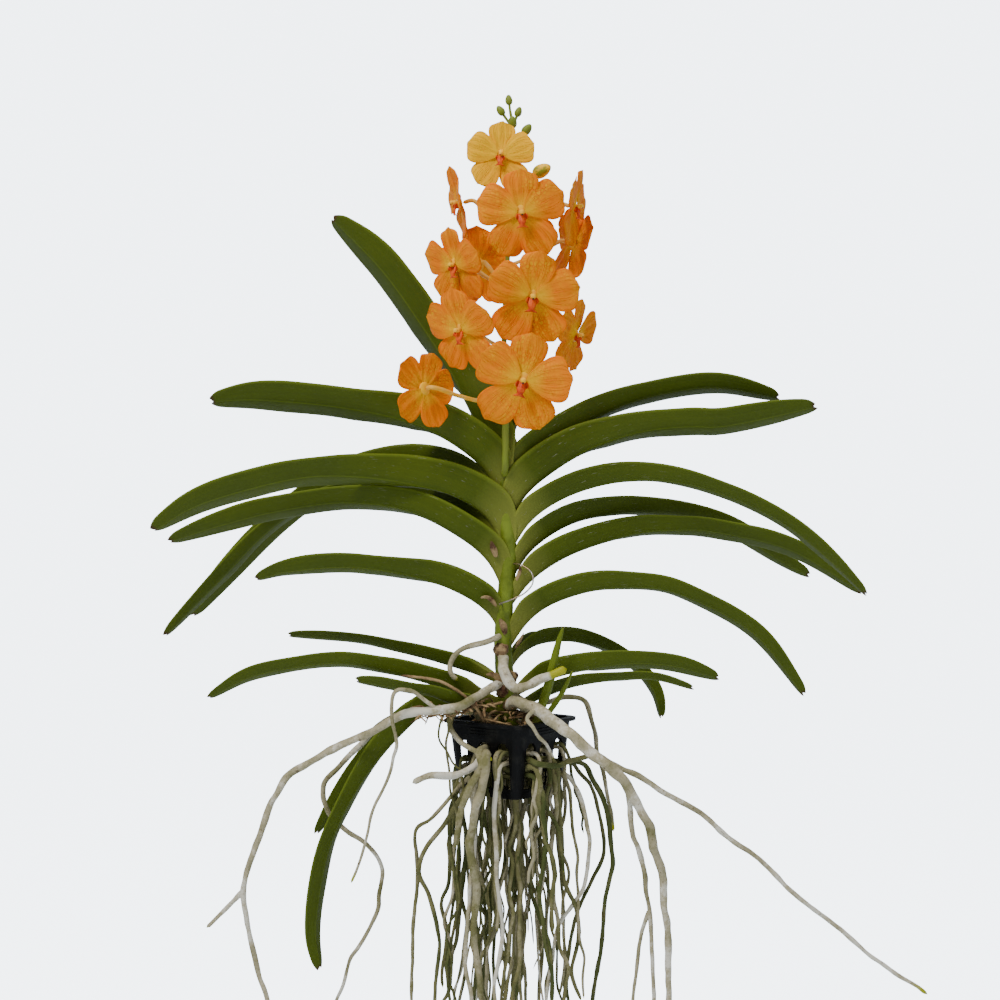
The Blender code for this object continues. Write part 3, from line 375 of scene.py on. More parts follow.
class Tone(Enum):
    """Named colours of the plant, as linear red, green and blue."""

    LEAF = (0.102, 0.136, 0.006)
    LEAF_DARK = (0.036, 0.056, 0.003)
    LEAF_PALE = (0.190, 0.250, 0.020)
    SHEATH = (0.300, 0.310, 0.055)
    BROWN = (0.075, 0.030, 0.014)
    STRAW = (0.430, 0.290, 0.140)
    ORANGE = (0.950, 0.235, 0.000)
    ORANGE_DEEP = (0.860, 0.135, 0.000)
    # Deeper orange: the tepals' net lines, and their painted shade in the folds, along the centre crease and
    # on the edges.
    ORANGE_LIGHT = (1.000, 0.430, 0.000)
    YELLOW = (1.000, 0.560, 0.002)
    # Deeper yellow: the top bloom's ground and its painted shade in the folds, crease and edges; a mottle on
    # the stalks.
    YELLOW_DEEP = (1.000, 0.460, 0.000)
    LIP = (0.800, 0.110, 0.000)
    LIP_DARK = (0.520, 0.028, 0.002)
    COLUMN = (1.000, 0.500, 0.030)
    STALK = (0.800, 0.520, 0.130)
    BUD = (0.190, 0.230, 0.025)
    ROOT = (0.500, 0.440, 0.290)
    ROOT_WHITE = (0.740, 0.700, 0.580)
    ROOT_OLIVE = (0.185, 0.175, 0.070)
    ROOT_GREEN = (0.070, 0.085, 0.022)
    ROOT_TIP = (0.400, 0.400, 0.015)
    PLASTIC = (0.0030, 0.0030, 0.0032)
    PLASTIC_DUST = (0.022, 0.021, 0.017)
    WIRE = (0.450, 0.450, 0.440)
    BACKDROP = (0.840, 0.910, 0.980)


def millimetres(points: list[Point]) -> list[Vector]:
    """Vectors in metres from points in millimetres."""
    return [Vector(point) * MM for point in points]


def scatter(draw: random.Random, *spans: tuple[float, float]) -> Vector:
    """A vector whose numbers are drawn in order, each from its own span."""
    return Vector([draw.uniform(low, high) for low, high in spans])


def wall_at(level: float) -> float:
    """Distance from the basket's middle to its tapered wall at a level."""
    return 0.5 * (BASKET_SIDE + (BASKET_FOOT_SIDE - BASKET_SIDE) * -level / BASKET_HEIGHT)


def basket_turn(side: int = 0) -> Matrix:
    """The turn that takes the front wall to one of the basket's four walls."""
    return Matrix.Rotation(BASKET_TURN, 4, "Z") @ Matrix.Rotation(math.radians(90.0 * side), 4, "Z")


@dataclass
class Frame:
    """A place on a route: how far along it is, and the directions there."""

    length: float
    point: Vector
    tangent: Vector
    side: Vector
    upper: Vector


class Route:
    """A smooth curve through points, with frames carried along it without twist."""

    def __init__(self, points: list[Vector]) -> None:
        """Trace the curve finely.

        Args:
            points: The points that the curve passes through, in metres.
        """
        self.points = points
        count = round((len(points) - 1) / TRACE_STEP) + 1
        fine = [self._smooth(step * TRACE_STEP) for step in range(count)]
        upper = Vector((0.0, 0.0, 1.0))
        self.trace: list[Frame] = []
        length = 0.0
        for index, point in enumerate(fine):
            tangent = (fine[min(index + 1, count - 1)] - fine[max(index - 1, 0)]).normalized()
            upper = (upper - tangent * upper.dot(tangent)).normalized()
            length += (point - fine[index - 1]).length if index else 0.0
            self.trace.append(Frame(length, point, tangent, tangent.cross(upper), upper))

    def _smooth(self, place: float) -> Vector:
        """A point of the curve.

        Args:
            place: Where it is, from 0 to the last point's index.

        Returns:
            The point.
        """
        points = self.points
        last = len(points) - 1
        index = min(int(place), last - 1)
        part = place - index
        before = points[index - 1] if index > 0 else points[0] * 2.0 - points[1]
        after = points[index + 2] if index + 2 <= last else points[last] * 2.0 - points[last - 1]
        start, end = points[index], points[index + 1]
        return 0.5 * (2.0 * start + (end - before) * part
                      + (2.0 * before - 5.0 * start + 4.0 * end - after) * part ** 2
                      + (3.0 * start - before - 3.0 * end + after) * part ** 3)

    @property
    def length(self) -> float:
        """The route's whole length in metres."""
        return self.trace[-1].length

    def frames(self, start: float, count: int) -> list[Frame]:
        """Frames at even lengths, up to the route's end.

        Args:
            start: Length along the route where they begin.
            count: How many frames.

        Returns:
            The frames in order.
        """
        result = []
        index = 0
        for step in range(count):
            want = start + (self.length - start) * step / (count - 1)
            while index < len(self.trace) - 2 and self.trace[index + 1].length < want:
                index += 1
            first, second = self.trace[index], self.trace[index + 1]
            part = (want - first.length) / (second.length - first.length)
            tangent = first.tangent.lerp(second.tangent, part).normalized()
            upper = first.upper.lerp(second.upper, part)
            upper = (upper - tangent * upper.dot(tangent)).normalized()
            point = first.point.lerp(second.point, part)
            result.append(Frame(want, point, tangent, tangent.cross(upper), upper))
        return result


class Value:
    """A socket of a shader, with arithmetic that adds its nodes."""

    def __init__(self, paint: "Paint", socket: bpy.types.NodeSocket) -> None:
        """Wrap a socket of a paint's node tree."""
        self.paint = paint
        self.socket = socket

    def _math(self, operation: str, first: "Term", second: "Term") -> "Value":
        """A Math node on two terms."""
        return self.paint.node("ShaderNodeMath", {"operation": operation}, {0: first, 1: second})

    def __add__(self, other: "Term") -> "Value":
        """This plus another."""
        return self._math("ADD", self, other)

    __radd__ = __add__

    def __sub__(self, other: "Term") -> "Value":
        """This less another."""
        return self._math("SUBTRACT", self, other)

    def __rsub__(self, other: "Term") -> "Value":
        """Another less this."""
        return self._math("SUBTRACT", other, self)

    def __mul__(self, other: "Term") -> "Value":
        """This times another."""
        return self._math("MULTIPLY", self, other)

    __rmul__ = __mul__

    def clamped(self) -> "Value":
        """This held between 0 and 1."""
        return self.paint.node("ShaderNodeClamp", {}, {"Value": self})


Term = Union[Value, float]


class Paint:
    """A Principled material under construction."""

    def __init__(self, name: str, roughness: float, gloss: float, metallic: float = 0.0) -> None:
        """Start a material.

        Args:
            name: The material's name.
            roughness: Roughness where nothing else is linked.
            gloss: Strength of the plain reflection, where 0.5 is that of glass.
            metallic: Metallic value, the same all over.
        """
        self.material = bpy.data.materials.new(name)
        self.material.use_nodes = True
        self.tree = self.material.node_tree
        self.shader = self.tree.nodes["Principled BSDF"]
        self.shader.inputs["Roughness"].default_value = roughness
        self.shader.inputs["Metallic"].default_value = metallic
        self.shader.inputs["Specular IOR Level"].default_value = gloss

    def node(self, kind: str, settings: dict[str, object], inputs: dict[Union[int, str], object],
             output: Union[int, str] = 0) -> Value:
        """Add a node.

        Args:
            kind: The node's type.
            settings: Attributes that are set first.
            inputs: Values or links of its sockets, by index or name.
            output: Which output is wanted.

        Returns:
            The wanted output.
        """
        item = self.tree.nodes.new(kind)
        for key, setting in settings.items():
            if key == "stops":
                self._set_stops(item, setting)
            else:
                setattr(item, key, setting)
        for key, given in inputs.items():
            if isinstance(given, Value):
                self.tree.links.new(given.socket, item.inputs[key])
            else:
                item.inputs[key].default_value = given
        return Value(self, item.outputs[output])

    @staticmethod
    def _set_stops(item: bpy.types.Node, stops: list[tuple[float, float]]) -> None:
        """Give a colour ramp its grey stops.

        Args:
            item: The ramp's node.
            stops: Pairs of place and level, in order.
        """
        ramp = item.color_ramp
        while len(ramp.elements) < len(stops):
            ramp.elements.new(1.0)
        for element, (place, level) in zip(ramp.elements, stops):
            element.position = place
            element.color = (level, level, level, 1.0)

    def object_place(self) -> Value:
        """Object coordinates."""
        return self.node("ShaderNodeTexCoord", {}, {}, "Object")

    def along_across(self) -> tuple[Value, Value]:
        """The piece's own UV map, as its two numbers.

        Returns:
            The place along the piece and the place across it, from 0 to 1.
        """
        place = self.node("ShaderNodeTexCoord", {}, {}, "UV")
        split = self.node("ShaderNodeSeparateXYZ", {}, {0: place})
        return split, Value(self, split.socket.node.outputs[1])

    def outward(self, across: Value) -> Value:
        """How far a place across is from the middle, from 0 to 1."""
        return self.node("ShaderNodeMath", {"operation": "ABSOLUTE"}, {0: (across - 0.5) * 2.0})

    def stretched(self, along: float, across: float) -> Value:
        """The UV map, stretched along and across."""
        place = self.node("ShaderNodeTexCoord", {}, {}, "UV")
        return self.node("ShaderNodeMapping", {}, {"Vector": place, "Scale": (along, across, 1.0)})

    def noise(self, place: Value, scale: float, detail: float = 3.0) -> Value:
        """Noise, from 0 to 1, at a place."""
        return self.node("ShaderNodeTexNoise", {}, {"Vector": place, "Scale": scale, "Detail": detail,
                                                    "Roughness": NOISE_ROUGHNESS})

    def ramp(self, value: Value, stops: list[tuple[float, float]]) -> Value:
        """A value remapped by grey stops."""
        return self.node("ShaderNodeValToRGB", {"stops": stops}, {0: value})

    def mix(self, factor: Value, first: Union[Value, Tone], second: Union[Value, Tone]) -> Value:
        """Two colours mixed by a factor.

        Args:
            factor: 0 for the first colour and 1 for the second.
            first: A colour.
            second: Another colour.

        Returns:
            The mixed colour.
        """
        terms = [(*term.value, 1.0) if isinstance(term, Tone) else term for term in (first, second)]
        return self.node("ShaderNodeMix", {"data_type": "RGBA"}, {0: factor, 6: terms[0], 7: terms[1]}, 2)

    def link(self, name: str, value: Value) -> None:
        """Feed a socket of the Principled shader."""
        self.tree.links.new(value.socket, self.shader.inputs[name])

    def bump(self, height: Value, distance: float, strength: float) -> None:
        """Feed the normal from a height.

        Args:
            height: The relief, from 0 to about 1.
            distance: Its depth in metres.
            strength: How much of it is felt.
        """
        inputs = {"Height": height, "Distance": distance, "Strength": strength}
        self.link("Normal", self.node("ShaderNodeBump", {}, inputs, "Normal"))


@dataclass(frozen=True)
class LeafFinish:
    """Waxy strap leaf: green along fine parallel veins, paler at its foot and along its edges."""

    name: str
    foot: Tone = Tone.SHEATH
    middle: Tone = Tone.LEAF
    shade: Tone = Tone.LEAF_DARK
    edge: Tone = Tone.LEAF_PALE
    roughness: float = 0.52
    foot_end: float = 0.17
    gloss: float = 0.14
    vein_count: float = 34.0
    patch_scale: float = 16.0
    relief: float = 0.4 * MM

    def build(self) -> bpy.types.Material:
        """Make the material.

        Returns:
            The material.
        """
        paint = Paint(self.name, self.roughness, self.gloss)
        along, across = paint.along_across()
        outward = paint.outward(across)
        veins = paint.noise(paint.stretched(1.2, self.vein_count), 1.6, 4.0)
        patches = paint.noise(paint.object_place(), self.patch_scale)
        tone = (veins * 0.55 + patches * 0.65 - 0.12).clamped()
        colour = paint.mix(tone, self.shade, self.middle)
        edge = paint.ramp(outward, [(0.86, 0.0), (0.98, 1.0)])
        centre_line = paint.ramp(outward, [(0.0, 0.5), (0.05, 0.0)])
        colour = paint.mix((edge * 0.55 + centre_line * 0.7).clamped(), colour, self.edge)
        foot = paint.ramp(along, [(0.03, 1.0), (self.foot_end, 0.0)])
        colour = paint.mix((foot * (patches * 0.5 + 0.55)).clamped(), colour, self.foot)
        specks = paint.noise(paint.stretched(9.0, 30.0), 3.0, 2.0)
        scuffs = paint.ramp(specks, [(0.69, 0.0), (0.72, 1.0)])
        scars = scuffs * paint.ramp(along, [(0.25, 1.0), (0.6, 0.12)])
        colour = paint.mix(scars * 0.5, colour, Tone.ROOT_WHITE)
        tip = paint.ramp(along + patches * 0.01, [(0.994, 0.0), (1.0, 1.0)])
        colour = paint.mix(tip * 0.8, colour, Tone.BROWN)
        paint.link("Base Color", colour)
        paint.link("Roughness", patches * 0.22 + (self.roughness - 0.09) + scars * 0.2)
        paint.bump(veins + scars * 0.4, self.relief, 0.6)
        return paint.material


@dataclass(frozen=True)
class PetalFinish:
    """Orange tepal: yellow at its claw, a faint net of lighter and darker cells and fine veins. Its folds
    near the claw and its centre crease are darkened with painted shade, and its edges are deeper, partly its
    own colour and partly painted shade.
    """

    name: str
    claw: Tone = Tone.YELLOW
    ground: Tone = Tone.ORANGE
    cells: Tone = Tone.ORANGE_LIGHT
    deep: Tone = Tone.ORANGE_DEEP
    roughness: float = 0.5
    # deep draws the net's darker lines, and the painted shade in the folds near the claw, along the centre
    # crease and on the edges.
    gloss: float = 0.06
    vein_count: float = 30.0
    fine_scale: float = 160.0
    broad_scale: float = 45.0
    net_scale: float = 330.0
    relief: float = 1.2 * MM

    def build(self) -> bpy.types.Material:
        """Make the material.

        Returns:
            The material.
        """
        paint = Paint(self.name, self.roughness, self.gloss)
        along, across = paint.along_across()
        outward = paint.outward(across)
        fine = paint.noise(paint.object_place(), self.fine_scale)
        broad = paint.noise(paint.object_place(), self.broad_scale)
        net = paint.node("ShaderNodeTexVoronoi", {"feature": "DISTANCE_TO_EDGE"},
                         {"Vector": paint.object_place(), "Scale": self.net_scale})
        lines = paint.ramp(net, [(0.02, 1.0), (0.22, 0.0)])
        streaks = paint.noise(paint.stretched(1.0, self.vein_count), 1.0)
        veins = paint.ramp(streaks, [(0.52, 0.0), (0.66, 1.0)])
        patch = paint.ramp(broad + fine * 0.3, [(0.55, 0.0), (0.85, 1.0)])
        colour = paint.mix(patch, self.ground, self.cells)
        colour = paint.mix((lines * 0.85 * patch).clamped(), colour, self.deep)
        # Painted shade: the vein streaks darken towards the claw, where the tepal's folds and ribs lie.
        colour = paint.mix((veins * 0.45 * (1.0 - along)).clamped(), colour, self.deep)
        # Deeper edges, partly the tepal's own colour and partly painted shade; and a dark line along the
        # middle, fading towards the tip: painted shade of the centre crease, over a faint line of the tepal's
        # own.
        rim = paint.ramp(outward, [(0.62, 0.0), (1.0, 1.0)])
        centre_line = paint.ramp(outward, [(0.0, 0.7), (0.07, 0.0)])
        colour = paint.mix((rim * 0.55 + centre_line * (1.0 - along)).clamped(), colour, self.deep)
        claw = paint.ramp(along + (fine - 0.5) * 0.1, [(0.04, 1.0), (0.34, 0.0)])
        colour = paint.mix((claw * (1.0 - outward * 0.55)).clamped(), colour, self.claw)
        paint.link("Base Color", colour)
        paint.link("Roughness", fine * 0.2 + (self.roughness - 0.1))
        paint.bump(veins * 0.8 + fine * 0.4 + broad * 1.2, self.relief, 0.7)
        return paint.material


@dataclass(frozen=True)
class SkinFinish:
    """A plain living or dry skin of two tones, mottled, with fine relief."""

    name: str
    ground: Tone
    mottle: Tone
    scale: float = 60.0
    roughness: float = 0.5
    relief: float = 0.3 * MM
    metallic: float = 0.0
    low: float = 0.42
    high: float = 0.62
    gloss: float = 0.25

    def build(self) -> bpy.types.Material:
        """Make the material.

        Returns:
            The material.
        """
        paint = Paint(self.name, self.roughness, self.gloss, self.metallic)
        place = paint.object_place()
        broad = paint.noise(place, self.scale, 4.0)
        fine = paint.noise(place, self.scale * 9.0)
        mask = paint.ramp(broad, [(self.low, 0.0), (self.high, 1.0)])
        paint.link("Base Color", paint.mix((mask * (fine * 0.6 + 0.6)).clamped(), self.ground, self.mottle))
        paint.link("Roughness", fine * 0.24 + (self.roughness - 0.12))
        paint.bump(fine + broad * 0.5, self.relief, 0.7)
        return paint.material


@dataclass(frozen=True)
class RootFinish:
    """Corky root skin: pale or olive by each root's own tone, flecked, with a green growing tip."""

    name: str
    pale: Tone = Tone.ROOT
    dark: Tone = Tone.ROOT_OLIVE
    green: Tone = Tone.ROOT_GREEN
    tip: Tone = Tone.ROOT_TIP
    tip_start: float = 0.95
    gloss: float = 0.2
    ring_count: float = 90.0
    broad_scale: float = 38.0
    fine_scale: float = 420.0
    fleck_scale: float = 240.0
    relief: float = 0.6 * MM

    def build(self) -> bpy.types.Material:
        """Make the material.

        Returns:
            The material.
        """
        paint = Paint(self.name, 0.8, self.gloss)
        place = paint.object_place()
        tone = paint.node("ShaderNodeAttribute", {"attribute_name": "tone"}, {}, "Fac")
        broad = paint.noise(place, self.broad_scale, 4.0)
        fine = paint.noise(place, self.fine_scale)
        rings = paint.noise(paint.stretched(self.ring_count, 1.2), 1.0)
        wear = (tone + (broad - 0.5) * 1.5 + (fine - 0.5) * 0.35).clamped()
        colour = paint.mix(paint.ramp(wear, [(0.12, 0.0), (0.52, 1.0)]), self.pale, self.dark)
        colour = paint.mix(paint.ramp(wear, [(0.58, 0.0), (0.95, 1.0)]), colour, self.green)
        bright = paint.ramp(1.0 - wear, [(0.84, 0.0), (1.0, 1.0)])
        colour = paint.mix(bright, colour, Tone.ROOT_WHITE)
        flecks = paint.ramp(paint.noise(place, self.fleck_scale, 2.0), [(0.64, 0.0), (0.72, 1.0)])
        colour = paint.mix(flecks * 0.55, colour, Tone.BROWN)
        along, _ = paint.along_across()
        tip = paint.ramp(along, [(self.tip_start, 0.0), (min(0.999, self.tip_start + 0.03), 1.0)])
        colour = paint.mix(tip, colour, self.tip)
        paint.link("Base Color", colour)
        paint.link("Roughness", 0.86 - tip * 0.4 - fine * 0.1)
        paint.bump(fine * 0.7 + rings * 0.8 + broad * 0.5, self.relief, 0.8)
        return paint.material


class Shapes:
    """Ways to make the plant's meshes."""

    @staticmethod
    def finish(name: str, shape: bmesh.types.BMesh, material: bpy.types.Material) -> bpy.types.Object:
        """Turn a bmesh into a smooth object with a material.

        Args:
            name: The object's name.
            shape: The bmesh, which is freed.
            material: Its material.

        Returns:
            The new object.
        """
        mesh = bpy.data.meshes.new(name)
        shape.to_mesh(mesh)
        shape.free()
        mesh.shade_smooth()
        mesh.materials.append(material)
        item = bpy.data.objects.new(name, mesh)
        bpy.context.scene.collection.objects.link(item)
        return item

    @staticmethod
    def grid(shape: bmesh.types.BMesh, rows: int, columns: int) -> list[bmesh.types.BMVert]:
        """Add a flat grid from -1 to 1 with a UV map.

        Args:
            shape: The bmesh.
            rows: Faces along X.
            columns: Faces along Y.

        Returns:
            The new vertices.
        """
        if not shape.loops.layers.uv:
            shape.loops.layers.uv.new("UVMap")
        made = bmesh.ops.create_grid(shape, x_segments=rows, y_segments=columns, size=1.0, calc_uvs=True)
        return made["verts"]

    @staticmethod
    def moved(shape: bmesh.types.BMesh, made: list[bmesh.types.BMVert], place: Union[Point, Vector],
              size: Point = (1.0, 1.0, 1.0), tilt: float = 0.0) -> None:
        """Size, tilt and place some vertices.

        Args:
            shape: The bmesh.
            made: Its vertices that move.
            place: Where their origin goes.
            size: Scale along each axis.
            tilt: Turn about X, in radians.
        """
        matrix = Matrix.Translation(place) @ Matrix.Rotation(tilt, 4, "X") @ Matrix.Diagonal((*size, 1.0))
        bmesh.ops.transform(shape, matrix=matrix, verts=made)

    @staticmethod
    def thicken(item: bpy.types.Object, thickness: float) -> None:
        """Give a sheet its thickness and round it off.

        Args:
            item: The sheet.
            thickness: How thick it becomes, in metres.
        """
        solid = item.modifiers.new("Solidify", "SOLIDIFY")
        solid.thickness = thickness
        solid.offset = 0.0
        smooth = item.modifiers.new("Subdivision", "SUBSURF")
        smooth.levels = 1
        smooth.render_levels = 1

    @staticmethod
    def tube(shape: bmesh.types.BMesh, route: Route, radii: tuple[float, float], tone: float = 0.3,
             sides: int = 10, step: float = TUBE_STEP, seed: float = 0.0, wobble: float = 0.12,
             tip: float = 0.03) -> None:
        """Add a tapered tube with closed, rounded ends to a bmesh.

        Args:
            shape: The bmesh.
            route: The line that the tube follows.
            radii: Radius at its start and at its end.
            tone: How dark the tube is, kept in an attribute.
            sides: Faces round it.
            step: Length of a face.
            seed: Where its unevenness is drawn.
            wobble: How uneven it is, as a share of its radius.
            tip: Share of its length over which the end rounds off.
        """
        rings = max(6, round(route.length / step))
        frames = route.frames(0.0, rings + 1)
        layer = shape.verts.layers.float.get("tone") or shape.verts.layers.float.new("tone")
        made = Shapes.grid(shape, rings, sides)
        for vertex in made:
            ring = round((vertex.co.x + 1.0) * 0.5 * rings)
            frame = frames[ring]
            part = ring / rings
            turn = (vertex.co.y + 1.0) * math.pi
            around = frame.side * math.cos(turn) + frame.upper * math.sin(turn)
            swell = 1.0 + wobble * noise.noise(frame.point * SWELLS + around * 0.8 + Vector((seed, 0.0, 0.0)))
            taper = min(1.0, math.sqrt(max(0.0, (1.0 - part) / tip)), math.sqrt(max(0.0, part / TUBE_START)))
            radius = (radii[0] + (radii[1] - radii[0]) * part) * swell * taper
            vertex.co = frame.point + around * radius
            vertex[layer] = tone
        bmesh.ops.remove_doubles(shape, verts=made, dist=MERGE_GAP)

    @staticmethod
    def strap(shape: bmesh.types.BMesh, route: Route, start: float, counts: tuple[int, int],
              half_width: float, roll: float, profile: Profile, wave: float = 0.0, seed: float = 0.0,
              notch: float = 0.0) -> None:
        """Add a folded strap to a bmesh.

        Args:
            shape: The bmesh.
            route: The strap's midline.
            start: Length along the route where it starts.
            counts: Faces along and across.
            half_width: Half its full width.
            roll: How far it rolls to face forward, in degrees.
            profile: Width, fold and roll by place along it.
            wave: Height of the unevenness of its edges.
            seed: Where the unevenness is drawn.
            notch: Depth of the bite in its tip.
        """
        rows, columns = counts
        frames = route.frames(start, rows + 1)
        for vertex in Shapes.grid(shape, rows, columns):
            row = round((vertex.co.x + 1.0) * 0.5 * rows)
            across = vertex.co.y
            width, fold, turn = profile(row / rows)
            frame = frames[row]
            facing = 1.0 if frame.side.y < 0.0 else -1.0
            spin = Matrix.Rotation(-math.radians(roll) * turn * facing, 3, frame.tangent)
            side, upper = spin @ frame.side, spin @ frame.upper
            reach = across * half_width * width
            rise = abs(across) ** 1.25 * half_width * width * math.sin(fold)
            uneven = noise.noise(Vector((frame.length * EDGE_WAVES, across * 0.9 + seed, seed * 3.1)))
            rise += wave * uneven * (0.35 + abs(across))
            bite = notch * max(0.0, row / rows - 0.97) / 0.03 * (0.8 - abs(across - 0.25))
            vertex.co = frame.point + side * reach * math.cos(fold) + upper * rise - frame.tangent * bite


class Piece:
    """What every visible piece is given before the end."""

    @staticmethod
    def settle(item: bpy.types.Object, slot: str, *nodes: str) -> None:
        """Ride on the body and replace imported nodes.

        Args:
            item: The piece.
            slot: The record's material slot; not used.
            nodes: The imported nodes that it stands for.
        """
        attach(item, "root")
        if nodes:
            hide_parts(*nodes)
        LOG.info("piece %s", item.name)


@dataclass
class Leaves:
    """The strap leaves in two rows, each with the foot that clasps the stem."""

    routes: dict[str, tuple[list[Point], float, float]]
    finish: LeafFinish = LeafFinish("leaf_skin")
    foot_width: float = 0.55
    widest: float = 1.85
    blade_width: float = 1.15
    foot_fold: float = 72.0
    middle_fold: float = 56.0
    end_fold: float = 20.0
    foot_roll: float = 0.35
    ease_end: float = 0.55
    taper_start: float = 0.70
    taper_loss: float = 0.60
    tip_start: float = 0.975
    edge_wave: float = 1.1 * MM
    tip_notch: float = 3.0 * MM

    def profile(self, place: float, foot: float) -> Point:
        """Width, fold and roll of a leaf with its foot.

        Args:
            place: Place along the leaf, from 0 to 1.
            foot: Share of the length that clasps the stem.

        Returns:
            The width as a share, the fold in radians, and how much of the roll is taken up.
        """
        if place < foot:
            part = place / foot
            width = self.foot_width + (self.widest - self.foot_width) * part
            fold = self.foot_fold + (self.middle_fold - self.foot_fold) * part
            return width, math.radians(fold), self.foot_roll * part
        part = (place - foot) / (1.0 - foot)
        ease = min(1.0, part / self.ease_end)
        flare = self.widest + (self.blade_width - self.widest) * ease * ease * (3.0 - 2.0 * ease)
        past = max(0.0, (part - self.taper_start) / (1.0 - self.taper_start))
        width = flare * (1.0 - self.taper_loss * past ** 2.2)
        width *= math.sqrt(max(0.05, 1.0 - max(0.0, (part - self.tip_start) / 0.027) ** 2))
        fold = self.middle_fold + (self.end_fold - self.middle_fold) * min(1.0, part * 2.0)
        return width, math.radians(fold), min(1.0, self.foot_roll + part * 2.4)

    def build(self) -> None:
        """Make every leaf."""
        material = self.finish.build()
        for number, (name, (points, half_width, roll)) in enumerate(self.routes.items()):
            route = Route(millimetres(points))
            foot = (SHEATH_REACH - SHEATH_START) / (route.length - SHEATH_START)
            shape = bmesh.new()
            Shapes.strap(shape, route, SHEATH_START, (LEAF_ROWS, LEAF_COLUMNS), half_width * MM, roll,
                         lambda place: self.profile(place, foot), self.edge_wave, number * 1.7,
                         self.tip_notch)
            item = Shapes.finish("fine_" + name, shape, material)
            Shapes.thicken(item, LEAF_THICK)
            Piece.settle(item, "leaf_green", name)


